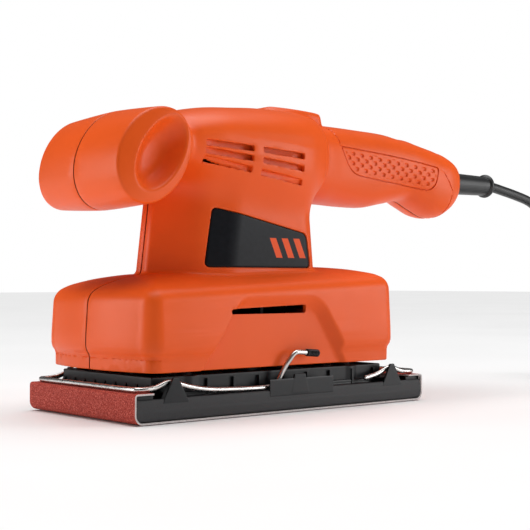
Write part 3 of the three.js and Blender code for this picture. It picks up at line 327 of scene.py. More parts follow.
def round_edge(q, r):
    """Distance round a right-angled edge, from the distances past its two sides."""
    return np.hypot(np.maximum(q, 0), np.maximum(r, 0)) + np.minimum(np.maximum(q, r), 0)


def nearest(u, v, places):
    """Distance, in a plane, from the nearest of some places."""
    return union(*(np.hypot(u - pu, v - pv) for pu, pv in places))


def table(rows):
    """A smooth curve through (place, value) rows, without overshoot, and its slope."""
    xs, ys = np.array(sorted(rows), float).T
    h, d = np.diff(xs), np.diff(ys) / np.diff(xs)
    m = np.zeros(len(xs))
    m[0], m[-1] = d[0], d[-1]
    same = d[1:] * d[:-1] > 0
    total = np.where(same, d[1:] + d[:-1], 1)
    m[1:-1] = np.where(same, 2 * d[1:] * d[:-1] / total, 0)
    t = np.linspace(xs[0], xs[-1], 1200)
    i = np.clip(np.searchsorted(xs, t) - 1, 0, len(h) - 1)
    u = (t - xs[i]) / h[i]
    v = (2 * u**3 - 3 * u**2 + 1) * ys[i] + (u**3 - 2 * u**2 + u) * h[i] * m[i]
    v += (3 * u**2 - 2 * u**3) * ys[i + 1] + (u**3 - u**2) * h[i] * m[i + 1]
    slope = np.gradient(v, t)
    return (lambda x: np.interp(x, t, v)), (lambda x: np.interp(x, t, slope))


def loft_field(sections, power, edge):
    """A body along X through (x, low, high, half) superellipse sections."""
    first, last = min(s[0] for s in sections), max(s[0] for s in sections)
    middle, middle_slope = table([(x, (lo + hi) / 2) for x, lo, hi, _ in sections])
    tall, tall_slope = table([(x, (hi - lo) / 2) for x, lo, hi, _ in sections])
    wide, wide_slope = table([(x, half) for x, _, _, half in sections])

    def field(x, y, z):
        xc = np.clip(x, first, last)
        w, h = wide(xc), tall(xc)
        off = z - middle(xc)
        u, v = np.abs(y) / w, np.abs(off) / h
        s = (u**power + v**power) ** (1 / power) + 1e-6
        su, sv = (u / s) ** (power - 1), (v / s) ** (power - 1)
        gx = su * u * wide_slope(xc) / w + sv * (v * tall_slope(xc) + np.sign(off) * middle_slope(xc)) / h
        d = (s - 1) / np.sqrt((su / w) ** 2 + (sv / h) ** 2 + gx**2)
        return smax(d, np.maximum(first - x, x - last), edge)

    return field


def edge_planes(outline):
    """For each edge of a convex outline in the XZ plane: its outward normal and a point on it."""
    points = np.array(outline, float)
    middle = points.mean(0)
    planes = []
    for a, b in zip(points, np.roll(points, -1, 0)):
        normal = np.array([b[1] - a[1], a[0] - b[0]]) / np.linalg.norm(b - a)
        planes.append((normal if normal @ (middle - a) < 0 else -normal, a))
    return planes


def within(planes, x, z, round_by):
    """Distance from the region that the planes bound, with its corners rounded."""
    worst = None
    for normal, at in planes:
        d = (x - at[0]) * normal[0] + (z - at[1]) * normal[1]
        worst = d if worst is None else smax(worst, d, round_by)
    return worst


def outline_field(outline, round_by):
    planes = edge_planes(outline)
    return lambda x, z: within(planes, x, z, round_by)


def box_field(x, y, z, centre, half, round_by=0.0):
    """Distance from a box, with its edges rounded."""
    q = [np.abs(v - c) - h + round_by for v, c, h in zip((x, y, z), centre, half)]
    outside = np.sqrt(sum(np.maximum(v, 0) ** 2 for v in q))
    return outside + np.minimum(np.maximum(np.maximum(q[0], q[1]), q[2]), 0) - round_by


# ---------------------------------------------------------------- the housing's outside

skirt_out, _ = table(SKIRT_SIDE)
deck_rise, _ = table(DECK)
cover_field = loft_field(COVER, 2.5, 3.0)
handle_field = loft_field(HANDLE, 2.5, 1.5)
pod_field = loft_field(POD, 7.0, 0.8)


def skirt_plan(x, y):
    s = SKIRT
    front = s["front"] - s["bow"] * (np.minimum(np.abs(y), s["flat"]) / s["flat"]) ** 2
    q = np.maximum(x - front, s["rear"] - x) + s["corner"]
    r = np.abs(y) - s["half"] + s["corner"]
    return round_edge(q, r) - s["corner"]


def skirt_field(x, y, z):
    s = SKIRT
    tilt = s["slope"] * (s["front"] - x) / (s["front"] - s["rear"])
    drop = tilt * np.clip((z - s["lean_from"]) / s["lean_over"], 0, 1)
    side = skirt_plan(x, y) + skirt_out(z - drop)
    top = (z - DECK_EDGE - tilt - deck_rise(-side)) * DECK_SCALE
    return smax(smax(side, top, 4.0), s["rim"] - z, 0.8)


def slanted(face, behind, a):
    """Distance from an upright face that slants back from the nose."""
    return (behind + face["back"]) * face["along"] + (a - face["out"]) * face["across"]


def neck_field(x, y, z):
    n = NECK
    share = (z - n["low"]) / (n["high"] - n["low"])
    nose = n["nose"] + (n["nose_top"] - n["nose"]) * share
    rear = n["rear"] + (n["rear_top"] - n["rear"]) * share
    a = np.abs(y)
    cheek, side = slanted(NECK_CHEEK, x - nose, a), slanted(NECK_SIDE, x - nose, a)
    back = round_edge(rear - x + n["corner"], a - n["half"] + n["corner"]) - n["corner"]
    d = smax(smax(cheek, side, 3.0), smax(x - nose, back, 3.0), 1.1)
    return common(d, n["low"] - 4 - z, z - n["high"])


def knob_turned(x, z):
    lean = math.radians(KNOB["tilt"])
    dx, dz = x - KNOB["x"], z - KNOB["z"]
    return dz * math.cos(lean) - dx * math.sin(lean), dx * math.cos(lean) + dz * math.sin(lean)


knob_bowl, _ = table(KNOB_BOWL)
knob_cone, _ = table(KNOB_CONE)


def knob_parts(x, y, z):
    """Distances from the knob's barrel and from its end: an oval barrel, with a bowl in each end."""
    k, bowl = KNOB, BOWL
    along, across = knob_turned(x, z)
    swell = 1 + k["crown"] * (1 - np.minimum(np.abs(y) / k["half"], 1) ** 1.4)
    long, short = k["long"] * swell, k["short"] * swell
    s = np.hypot(along / long, across / short) + 1e-6
    slope = np.hypot(along / long**2, across / short**2) / s
    side = (s - 1) / np.maximum(slope, 1e-4)
    share = np.hypot((along - bowl["along"]) / bowl["long"], (across - bowl["across"]) / bowl["short"])
    end = np.abs(y) - k["half"] + knob_bowl(share) + knob_cone(share)
    return side, end / (1 + 0.5 * (share < bowl["rim"]))


def cover_and_handle(x, y, z):
    return smin(cover_field(x, y, z), handle_field(x, y, z), BLEND["handle"])


def outer_field(x, y, z):
    b = BLEND
    top = smin(cover_and_handle(x, y, z), pod_field(x, y, z), b["pod"])
    body = smin(top, neck_field(x, y, z), b["neck"])
    knob_blend = b["knob"] + b["knob_more"] * np.clip((z - b["knob_low"]) / b["knob_tall"], 0, 1)
    side, end = knob_parts(x, y, z)
    body = smin(body, smax(side, end, b["rim"]), knob_blend)
    body = np.maximum(body, -np.maximum(side + 1.5, -end))
    return smin(body, skirt_field(x, y, z), b["skirt"])


# ---------------------------------------------------------------- what is cut into each side


def leaning(wall, depth, lean):
    """A wall's distance, when the wall also leans in with depth."""
    inwards, length = lean
    return (wall + depth * inwards) / length


def upright(run_from, height, plane):
    """Distance from a slanting wall that meets the recess's top at run_from = 0."""
    run, rise, length = plane
    return (run_from * run + height * rise) / length


def recess_field(x, a, z):
    """The shallow pocket in the skirt's side: its upper and rear edges are broad chamfers."""
    r = RECESS
    depth, height = r["face"] - a, z - r["top"]
    top = leaning(height, depth, RECESS_LEAN["top"])
    rear = leaning(upright(x - r["top_rear"], height, RECESS_REAR), depth, RECESS_LEAN["rear"])
    front = leaning(upright(x - r["top_front"], height, RECESS_FRONT), depth, RECESS_LEAN["front"])
    sides = smax(smax(top, rear, 4.5), front, 4.0)
    return smax(sides, r["floor"] - a, 0.8)


slot_outline = outline_field(SLOT, 1.6)
badge_outline = outline_field(BADGE, 3.2)


def vent_field(x, a, z):
    """The cooling slots: slanting rows, each with a web at its middle."""
    v = VENTS
    middle = (v["front"] + v["rear"]) / 2
    reach = (v["front"] - v["rear"]) / 2
    web = v["web"] / 2
    centre, half = (reach + web) / 2, (reach - web) / 2
    rows = []
    for low, fall in VENT_ROWS:
        slope = fall / (2 * reach)
        height = z - low - slope * (x - middle) - v["height"] / 2
        q = np.abs(np.abs(x - middle) - centre) - half + v["round"]
        r = np.abs(height) - v["height"] / 2 + v["round"]
        rows.append(round_edge(q, r) - v["round"])
    return np.maximum(union(*rows), v["inner"] - a)


GRIP_PLANES = edge_planes(GRIP)


def grip_plan(x, z):
    """The grip panel's outline: nearly sharp upper corners, and widely rounded lower ones."""
    top, rear, bottom, front = GRIP_PLANES
    middle = (GRIP[0][0] + GRIP[1][0]) / 2
    rise = GRIP_ARCH["rise"] * np.maximum(1 - ((x - middle) / GRIP_ARCH["reach"]) ** 2, 0)
    upper = within([top, rear, front], x, z - rise, 2.2)
    return np.maximum(upper, within([bottom, rear, front], x, z, 7.5))


def handle_lines(x, z):
    """Fine parting lines: round the handle's root, and where its end cap starts."""
    r, c = ROOT_LINE, CAP_LINE
    share = np.clip((z - r["low"]) / r["tall"], 0, 1)
    root = np.maximum(np.abs(x - r["x"] - r["bow"] * share**2) - LINE_HALF, r["stop"] - z)
    bend = np.clip((c["top"] - z) / c["tall"], -0.4, 2)
    run = c["run"] * np.clip(bend, 0, 1) ** 0.7
    back = c["back"] * np.clip(bend - 1, 0, 1)
    cap = np.maximum(np.abs(x - c["x"] + run - back) - LINE_HALF, z - c["stop"])
    return np.minimum(root, cap)


def side_cuts(x, a, z, outer):
    """What is cut deep into a shell's side, and the shallow cuts: the grip's bed and the parting lines."""
    slot = np.maximum(slot_outline(x, z), SLOT_INNER - a)
    sunk = neck_field(x, a, z) + BADGE_SUNK + BADGE_THICK + GAP
    badge = common(badge_outline(x, z) - GAP, -sunk, BADGE_INNER - a)
    cuts = union(recess_field(x, a, z), slot, badge, vent_field(x, a, z))
    grip = np.maximum(grip_plan(x, z) - 0.1, -(outer + GRIP_DEEP))
    lines = np.maximum(handle_lines(x, z), -(outer + LINE_DEEP))
    return cuts, np.minimum(grip, lines)


def inner_walls(x, a, z):
    """Bosses for the screws, and the plates that hold the bearings and the motor."""
    best = nearest(x, z, SCREWS.values()) - BOSS_RADIUS
    turn = np.hypot(x, a)
    for low, high, reach, bore in PLATES:
        plate = common(np.abs(z - (low + high) / 2) - (high - low) / 2, np.abs(x) - reach, bore - turn)
        best = np.minimum(best, plate)
    return best


def leg_seats(x, a, z):
    """The seats that hold the legs' tops, and their bores."""
    s = LEGS
    d = nearest(x, a, ((s["front"], s["y"]), (s["rear"], s["y"])))
    seat = np.maximum(d - s["end"] - s["wall"], s["collar"] - z)
    bore = np.maximum(d - s["end"] - GAP, z - s["top"] - GAP)
    return seat, bore


def screw_holes(side, x, a, z):
    """The screws enter the right shell, where their heads are sunk, and end in blind holes in the left one."""
    away = nearest(x, z, SCREWS.values())
    if side > 0:
        return np.maximum(away - SCREW["shank"], a - SCREW["tip"])
    return np.minimum(np.maximum(away - SCREW["head"], SCREW["floor"] - a), away - SCREW["shank"])


def shell_field(side):
    """One half of the housing: side is 1 for the left and -1 for the right."""

    def field(p):
        x, y, z = p.T
        a = y * side
        outer = outer_field(x, a, z)
        backing = np.maximum(recess_field(x, a + WALL, z) - 3, 39 - a)
        seat, bore = leg_seats(x, a, z)
        solids = union(inner_walls(x, a, z), backing, seat)
        wall = smax(outer, -(outer + WALL), 0.3)
        d = np.minimum(wall, np.maximum(solids, outer + 0.3))
        cuts, shallow = side_cuts(x, a, z, outer)
        d = smax(d, -cuts, 0.7)
        relief = np.maximum(np.hypot(a, z - RELIEF["z"]) - RELIEF["bore"], x - RELIEF["bore_end"])
        d = common(d, -shallow, -bore, -relief)
        d = np.minimum(d, np.maximum(box_field(x, a, z, **BAFFLE), outer + 1.5))
        d = smax(d, -box_field(x, a, z, **ROCKER_OPENING), 0.5)
        holes = screw_holes(side, x, a, z)
        d = np.maximum(d, -holes) if side > 0 else smax(d, -holes, 0.4)
        return smax(d, GAP / 2 + 0.05 - a, 1.1)

    return field


# ---------------------------------------------------------------- meshing


def chunks(field, points, size=400000):
    return np.concatenate([field(points[i : i + size]) for i in range(0, len(points), size)])


def near_surface(field, low, shape, cell, span):
    """A rough value at each grid point, and which points lie near the surface."""
    grid = np.indices(shape).reshape(3, -1).T
    values = chunks(field, low + (grid + 0.5) * span * cell).reshape(shape)
    near = np.abs(values) < span * cell * 1.25 + cell
    for axis in range(3):
        values, near = np.repeat(values, span, axis), np.repeat(near, span, axis)
    values = np.pad(values, ((0, 1),) * 3, mode="edge")
    wanted = np.zeros(values.shape, bool)
    for i, j, k in itertools.product((0, 1), repeat=3):
        wanted[i : i + near.shape[0], j : j + near.shape[1], k : k + near.shape[2]] |= near
    return values, wanted


def crossings(field, values, wanted, low, cell, axis):
    """Each grid edge that the surface crosses: its place, the crossing, its normal and which end is inside."""
    inside = values < 0
    ahead, behind = [slice(None)] * 3, [slice(None)] * 3
    ahead[axis], behind[axis] = slice(1, None), slice(None, -1)
    ahead, behind = tuple(ahead), tuple(behind)
    index = np.argwhere((inside[ahead] != inside[behind]) & wanted[ahead] & wanted[behind])
    step = np.zeros(3, int)
    step[axis] = 1
    v0 = values[tuple(index.T)]
    v1 = values[tuple((index + step).T)]
    start = low + index * cell
    t = v0 / (v0 - v1)
    middle = chunks(field, start + t[:, None] * step * cell)
    same = (middle < 0) == (v0 < 0)
    ta, va = np.where(same, t, 0), np.where(same, middle, v0)
    tb, vb = np.where(same, 1, t), np.where(same, v1, middle)
    gap = np.where(np.abs(va - vb) < 1e-9, 1, va - vb)
    t = np.clip(ta + (tb - ta) * va / gap, 0, 1)
    point = start + t[:, None] * step * cell
    normal = np.zeros_like(point)
    for k in ((1, -1, -1), (-1, -1, 1), (-1, 1, -1), (1, 1, 1)):
        k = np.array(k, float)
        normal += k * chunks(field, point + 0.02 * k)[:, None]
    normal /= np.maximum(np.linalg.norm(normal, axis=1), 1e-9)[:, None]
    return index, point, normal, v0 < 0


def fitted_points(ids, points, normals):
    """One vertex for each cell, where it fits best the planes of the crossings round the cell."""
    unique, slot = np.unique(ids, return_inverse=True)
    count = len(unique)

    def add(weights):
        return np.bincount(slot, weights=weights, minlength=count)

    number = add(np.ones(len(slot)))
    mass = np.stack([add(points[:, i]) for i in range(3)], 1) / number[:, None]
    offset = (normals * (points - mass[slot])).sum(1)
    right = np.stack([add(normals[:, i] * offset) for i in range(3)], 1)
    matrix = np.zeros((count, 3, 3))
    for i in range(3):
        for j in range(i, 3):
            matrix[:, i, j] = matrix[:, j, i] = add(normals[:, i] * normals[:, j])
    matrix += np.eye(3) * 0.08
    return unique, mass + np.linalg.solve(matrix, right[:, :, None])[:, :, 0]


def surface_net(field, low, high, cell, span=8):
    """Vertices (mm) and quads where field is zero, with sharp edges kept."""
    low, high = np.array(low, float) - 2 * cell, np.array(high, float) + 2 * cell
    shape = np.ceil((high - low) / (cell * span)).astype(int)
    values, wanted = near_surface(field, low, tuple(shape), cell, span)
    values[wanted] = chunks(field, low + np.argwhere(wanted) * cell)
    cells = np.array(values.shape)
    ids, points, normals, quads = [], [], [], []
    for axis in range(3):
        edge, point, normal, filled = crossings(field, values, wanted, low, cell, axis)
        b, c = (axis + 1) % 3, (axis + 2) % 3
        around = []
        for db, dc in ((-1, -1), (0, -1), (0, 0), (-1, 0)):
            corner = edge.copy()
            corner[:, b] += db
            corner[:, c] += dc
            around.append(np.ravel_multi_index(tuple(corner.T), cells, mode="clip"))
        ids += around
        points += [point] * 4
        normals += [normal] * 4
        quad = np.stack(around, 1)
        quads.append(np.where(filled[:, None], quad, quad[:, ::-1]))
    ids, points, normals = (np.concatenate(v) for v in (ids, points, normals))
    unique, place = fitted_points(ids, points, normals)
    corner = low + np.stack(np.unravel_index(unique, cells), 1) * cell
    place = np.clip(place, corner + 0.02 * cell, corner + 0.98 * cell)
    return place, np.searchsorted(unique, np.concatenate(quads))


def new_mesh(name, points, faces, scale=MM):
    """An object from an array of points and an array of equal-sided faces."""
    mesh = bpy.data.meshes.new(name)
    faces = np.asarray(faces)
    count, sides = faces.shape
    mesh.vertices.add(len(points))
    mesh.vertices.foreach_set("co", (np.asarray(points) * scale).astype(np.float32).ravel())
    mesh.loops.add(count * sides)
    mesh.loops.foreach_set("vertex_index", faces.astype(np.int32).ravel())
    mesh.polygons.add(count)
    mesh.polygons.foreach_set("loop_start", np.arange(0, count * sides, sides, dtype=np.int32))
    mesh.polygons.foreach_set("loop_total", np.full(count, sides, np.int32))
    mesh.update(calc_edges=True)
    mesh.validate()
    obj = bpy.data.objects.new(name, mesh)
    bpy.context.scene.collection.objects.link(obj)
    return obj


def largest_part(points, quads, keep=0.02):
    """Drops crumbs: joined parts with less than a small share of the largest one's corners."""
    label = np.arange(len(points))
    pairs = np.concatenate([quads[:, [0, 1]], quads[:, [1, 2]], quads[:, [2, 3]]])
    while True:
        low = np.minimum(label[pairs[:, 0]], label[pairs[:, 1]])
        before = label.copy()
        np.minimum.at(label, label[pairs[:, 0]], low)
        np.minimum.at(label, label[pairs[:, 1]], low)
        label = label[label]
        if (label == before).all():
            break
    size = np.bincount(label, minlength=len(points))
    good = size[label] >= keep * size.max()
    quads = quads[good[quads[:, 0]]]
    used = np.unique(quads)
    return points[used], np.searchsorted(used, quads)


def finish_mesh(obj, angle=32):
    mesh = obj.data
    mesh.polygons.foreach_set("use_smooth", np.ones(len(mesh.polygons), bool))
    mesh.set_sharp_from_angle(angle=math.radians(angle))
    return obj


def moulded(name, field, low, high, cell, target=90000, angle=32):
    """A piece meshed from its field, thinned out where it is flat."""
    points, quads = largest_part(*surface_net(field, low, high, cell))
    obj = new_mesh(name, points, quads)
    faces = len(quads) * 2
    if faces > target:
        modifier = obj.modifiers.new("thin", "DECIMATE")
        modifier.ratio = target / faces
        graph = bpy.context.evaluated_depsgraph_get()
        thin = bpy.data.meshes.new_from_object(obj.evaluated_get(graph))
        obj.modifiers.clear()
        obj.data = thin
    return finish_mesh(obj, angle)


# ---------------------------------------------------------------- materials


class Look:
    """A Principled material with helpers for procedural detail in object space, in metres."""

    def __init__(self, name, color, roughness, metallic=0.0, **extra):
        self.material = bpy.data.materials.new(name)
        self.material.use_nodes = True
        self.tree = self.material.node_tree
        self.shader = self.tree.nodes["Principled BSDF"]
        self.set("Base Color", (*color, 1))
        self.set("Roughness", roughness)
        self.set("Metallic", metallic)
        for key, value in extra.items():
            self.set(key.replace("_", " ").title().replace("Ior", "IOR"), value)
        self.place = self.tree.nodes.new("ShaderNodeTexCoord").outputs["Object"]

    def set(self, socket, value):
        self.shader.inputs[socket].default_value = value

    def link(self, a, b):
        self.tree.links.new(a, b)

    def noise(self, scale, detail=3.0, rough=0.5, stretch=None):
        node = self.tree.nodes.new("ShaderNodeTexNoise")
        node.inputs["Scale"].default_value = scale
        node.inputs["Detail"].default_value = detail
        node.inputs["Roughness"].default_value = rough
        self.link(self.stretched(stretch), node.inputs["Vector"])
        return node.outputs["Fac"]

    def cells(self, scale):
        node = self.tree.nodes.new("ShaderNodeTexVoronoi")
        node.inputs["Scale"].default_value = scale
        self.link(self.place, node.inputs["Vector"])
        return node.outputs

    def stretched(self, stretch):
        if stretch is None:
            return self.place
        node = self.tree.nodes.new("ShaderNodeMapping")
        node.inputs["Scale"].default_value = stretch
        self.link(self.place, node.inputs["Vector"])
        return node.outputs["Vector"]

    def ramp(self, value, stops):
        node = self.tree.nodes.new("ShaderNodeValToRGB")
        self.link(value, node.inputs["Fac"])
        for i, (at, color) in enumerate(stops):
            stop = node.color_ramp.elements[i] if i < 2 else node.color_ramp.elements.new(at)
            stop.position = at
            stop.color = (*color, 1)
        return node.outputs["Color"]

    def between(self, value, low, high):
        node = self.tree.nodes.new("ShaderNodeMapRange")
        node.inputs["To Min"].default_value = low
        node.inputs["To Max"].default_value = high
        self.link(value, node.inputs["Value"])
        return node.outputs["Result"]

    def split(self):
        """The X, Y and Z of the place on the piece."""
        node = self.tree.nodes.new("ShaderNodeSeparateXYZ")
        self.link(self.place, node.inputs["Vector"])
        return [node.outputs[axis] for axis in "XYZ"]

    def calc(self, kind, a, b=0.0):
        node = self.tree.nodes.new("ShaderNodeMath")
        node.operation = kind
        for i, value in enumerate((a, b)):
            if isinstance(value, (int, float)):
                node.inputs[i].default_value = value
            else:
                self.link(value, node.inputs[i])
        return node.outputs[0]

    def painted(self, base, mask, color):
        """The base colour, with another where the mask is 1."""
        node = self.tree.nodes.new("ShaderNodeMix")
        node.data_type = "RGBA"
        self.link(mask, node.inputs[0])
        self.link(base, node.inputs[6])
        node.inputs[7].default_value = (*color, 1)
        return node.outputs[2]

    def bands(self, direction, scale, distortion=0.0):
        node = self.tree.nodes.new("ShaderNodeTexWave")
        node.bands_direction = direction
        node.inputs["Scale"].default_value = scale
        node.inputs["Distortion"].default_value = distortion
        self.link(self.place, node.inputs["Vector"])
        return node.outputs["Fac"]

    def color(self, value):
        self.link(value, self.shader.inputs["Base Color"])

    def rough(self, value):
        self.link(value, self.shader.inputs["Roughness"])

    def bump(self, height, strength, distance):
        node = self.tree.nodes.new("ShaderNodeBump")
        node.inputs["Strength"].default_value = strength
        node.inputs["Distance"].default_value = distance
        self.link(height, node.inputs["Height"])
        if self.shader.inputs["Normal"].is_linked:
            self.link(self.shader.inputs["Normal"].links[0].from_socket, node.inputs["Normal"])
        self.link(node.outputs["Normal"], self.shader.inputs["Normal"])


def plastic(name, color, roughness, spread=0.04, grain=3200, depth=0.00004, **extra):
    """Moulded plastic: fine grain, and a slow drift of colour and sheen."""
    look = Look(name, color, roughness, **extra)
    drift = look.noise(22, 4)
    dark = tuple(c * (1 - spread) for c in color)
    light = tuple(min(1, c * (1 + spread)) for c in color)
    look.color(look.ramp(drift, [(0.3, dark), (0.7, light)]))
    look.rough(look.between(look.noise(140, 3), roughness - 0.05, roughness + 0.05))
    look.bump(look.noise(grain, 2), 0.25, depth)
    return look


def housing_look():
    """Orange plastic, with painted shade along the parting line between the two shells."""
    color = (0.82, 0.100, 0.010)
    look = plastic("orange_abs", color, 0.4, grain=2600, depth=0.00003, specular_ior_level=0.24)
    base = look.shader.inputs["Base Color"].links[0].from_socket
    _, y, _ = look.split()
    # painted shade: a dark band along the parting line, where the gap between the shells falls in shade
    seam_shade = look.calc("LESS_THAN", look.calc("ABSOLUTE", y), 0.00045)
    look.color(look.painted(base, seam_shade, (0.20, 0.022, 0.004)))
    return look


def metal(name, color, roughness, scale=900, stretch=None):
    """Metal with fine drawn or turned marks and slight staining."""
    look = Look(name, color, roughness, 1.0)
    stain = look.noise(160, 5, 0.6)
    look.color(look.ramp(stain, [(0.35, tuple(c * 0.82 for c in color)), (0.7, color)]))
    marks = look.noise(scale, 3, 0.6, stretch)
    look.rough(look.between(marks, roughness - 0.08, roughness + 0.12))
    look.bump(marks, 0.2, 0.00003)
    return look


def laminated():
    """A stack of steel plates, as fine bands along Z."""
    look = Look("laminated_steel", (0.23, 0.235, 0.24), 0.45, 0.85)
    bands = look.bands("Z", 320)
    look.color(look.ramp(bands, [(0.2, (0.12, 0.12, 0.125)), (0.7, (0.3, 0.3, 0.31))]))
    look.bump(bands, 0.4, 0.0001)
    return look


def wound(name, color):
    """Enamelled copper wire laid side by side."""
    look = Look(name, color, 0.3, 0.9, coat_weight=0.5)
    bands = look.bands("DIAGONAL", 420, 0.6)
    look.color(look.ramp(bands, [(0.15, tuple(c * 0.4 for c in color)), (0.6, color)]))
    look.bump(bands, 0.5, 0.00015)
    return look


def grit():
    """Coated abrasive: red-brown grains that catch the light, bound on a backing."""
    look = Look("abrasive_grit", (0.34, 0.04, 0.025), 0.75, specular_ior_level=0.25)
    grain = look.cells(1500)
    fine = look.noise(1500, 5, 0.75)
    stops = [(0.34, (0.15, 0.010, 0.007)), (0.5, (0.37, 0.036, 0.022)), (0.66, (0.72, 0.17, 0.12))]
    look.color(look.ramp(fine, stops))
    look.rough(look.between(grain["Distance"], 0.55, 0.9))
    look.bump(grain["Distance"], 0.5, 0.0002)
    return look


def paper_back():
    look = Look("paper_back", (0.55, 0.5, 0.49), 0.85)
    fibre = look.noise(900, 6, 0.7)
    look.color(look.ramp(fibre, [(0.3, (0.46, 0.41, 0.40)), (0.7, (0.70, 0.65, 0.64))]))
    look.bump(fibre, 0.3, 0.00006)
    return look


def foam():
    """Dense closed-cell foam rubber."""
    look = Look("foam_rubber", (0.012, 0.012, 0.013), 0.6)
    pores = look.cells(1500)
    look.color(look.ramp(pores["Distance"], [(0.05, (0.006, 0.006, 0.007)), (0.5, (0.016, 0.016, 0.018))]))
    look.bump(pores["Distance"], 0.3, 0.0001)
    return look


def badge_look():
    """Glossy black with slanted orange stripes, as printing under a clear coat."""
    look = Look("badge_panel", (0.004, 0.005, 0.007), 0.42, specular_ior_level=0.16)
    x, _, z = look.split()
    calc, s = look.calc, STRIPES
    lean = calc("SUBTRACT", x, calc("MULTIPLY", z, s["lean"]))
    stripes = None
    for start in s["starts"]:
        past, short = calc("GREATER_THAN", lean, start), calc("LESS_THAN", lean, start + s["width"])
        inside = calc("MULTIPLY", past, short)
        stripes = inside if stripes is None else calc("MAXIMUM", stripes, inside)
    band = calc("MULTIPLY", calc("GREATER_THAN", z, s["low"]), calc("LESS_THAN", z, s["high"]))
    base = look.ramp(look.noise(400, 3), [(0.3, (0.003, 0.004, 0.006)), (0.7, (0.006, 0.007, 0.010))])
    look.color(look.painted(base, calc("MULTIPLY", stripes, band), (0.80, 0.09, 0.012)))
    look.rough(look.between(look.noise(60, 3), 0.36, 0.46))
    return look


def floor_look():
    look = Look("pale_floor", (0.9, 0.9, 0.9), 0.55)
    look.rough(look.between(look.noise(6, 3), 0.5, 0.6))
    look.color(look.ramp(look.noise(3, 3), [(0.3, (0.90, 0.90, 0.90)), (0.7, (0.93, 0.93, 0.93))]))
    return look


LOOKS = dict(
    housing=housing_look(),
    badge=badge_look(),
    black_plastic=plastic(
        "charcoal_plastic", (0.0055, 0.0065, 0.008), 0.38, 0.2, 2200, 0.00006, specular_ior_level=0.3
    ),
    pad_foam=foam(),
    abrasive=grit(),
    wire=metal("zinc_wire", (0.66, 0.65, 0.63), 0.26, 300),
    steel=metal("turned_steel", (0.5, 0.5, 0.51), 0.3, 1400, (1, 1, 6)),
    laminations=laminated(),
    copper=wound("enamelled_copper", (0.62, 0.24, 0.09)),
    brass=metal("brass", (0.72, 0.50, 0.18), 0.28),
    carbon=plastic("carbon", (0.022, 0.022, 0.024), 0.6, 0.2, 1800, 0.0001),
    rubber=plastic("black_rubber", (0.012, 0.0125, 0.0135), 0.42, 0.1, 1500, 0.00006),
)
PAPER = paper_back()


def wear(obj, slot):
    """Gives a piece its slot's look."""
    obj.data.materials.clear()
    obj.data.materials.append(LOOKS[slot].material)
    return obj


def stands_for(obj, body, slot, *nodes):
    wear(obj, slot)
    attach(obj, body)
    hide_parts(*nodes)
    return obj


# ---------------------------------------------------------------- small mouldings


def badge_field(side):
    def field(p):
        x, y, z = p.T
        a = y * side
        depth = neck_field(x, a, z) + BADGE_SUNK
        slab = smax(depth, -(depth + BADGE_THICK), 0.2)
        return smax(smax(slab, badge_outline(x, z), 0.6), BADGE_INNER - a, 0.1)

    return field


def grip_field(side):
    """The panel let into the handle's side: a flush skin with a pattern of small pits."""
    run = np.array(GRIP[1], float) - GRIP[0]
    run /= np.linalg.norm(run)

    def field(p):
        x, y, z = p.T
        a = y * side
        outer = cover_and_handle(x, a, z)
        edge = grip_plan(x, z)
        along = (x - GRIP[0][0]) * run[0] + (z - GRIP[0][1]) * run[1]
        up = (x - GRIP[0][0]) * -run[1] + (z - GRIP[0][1]) * run[0]
        wave = np.cos(math.pi * along / PIT["along"]) * np.cos(math.pi * up / PIT["up"])
        pits = PIT["deep"] * np.clip((wave - 0.15) / 0.5, 0, 1) * np.clip((-edge - 1.6) / 0.8, 0, 1)
        skin = outer + 0.1 + pits
        return smax(smax(skin, -(outer + GRIP_DEEP), 0.2), edge + 0.5, 0.4)

    return field


def tapered(x, y, z, centre, low, high, low_half, high_half, round_by=0.4):
    """Distance from a bar with a narrower top; halves are along X and Y."""
    share = (z - low) / (high - low)
    q = np.abs(x - centre[0]) - (low_half[0] + (high_half[0] - low_half[0]) * share)
    r = np.abs(y - centre[1]) - (low_half[1] + (high_half[1] - low_half[1]) * share)
    d = smax(q, r, round_by)
    return smax(d, np.maximum(low - z, z - high), round_by)


def seats_field(x, y, z):
    """What holds one wire clamp: two saddles with their guards, and on the lever's side a catch."""
    a = np.abs(y)
    saddles = np.minimum(tapered(x, a, z, **SADDLE), tapered(x, a, z, **GUARD))
    catch = np.minimum(box_field(x, y, z, **CATCH), box_field(x, y, z, **LEDGE))
    return union(saddles, catch, tapered(x, y, z, **TOOTH))


def comb(v, pitch, half):
    """Thin ribs at an even pitch."""
    return np.abs((v + pitch / 2) % pitch - pitch / 2) - half


def platen_ribs(x, y, z):
    """The low ribs: a grid in the middle, a row across the front, and one along each side."""
    a, along = np.abs(y), np.abs(x - 5)
    grid = union(np.abs(a - 14), np.abs(x - 36), np.abs(x + 34)) - 1
    grid = common(grid, along - 74, a - 37.5, z - 18.4)
    front = common(comb(y, 9, 0.6), np.abs(x - 81) - 2.2, a - 36, z - 17 + 1.6 * np.maximum(x - 80, 0))
    sides = common(comb(x, 16, 0.7), np.abs(a - 38.7) - 1.2, along - 73, z - 18.6)
    return np.maximum(union(grid, front, sides), 11 - z)


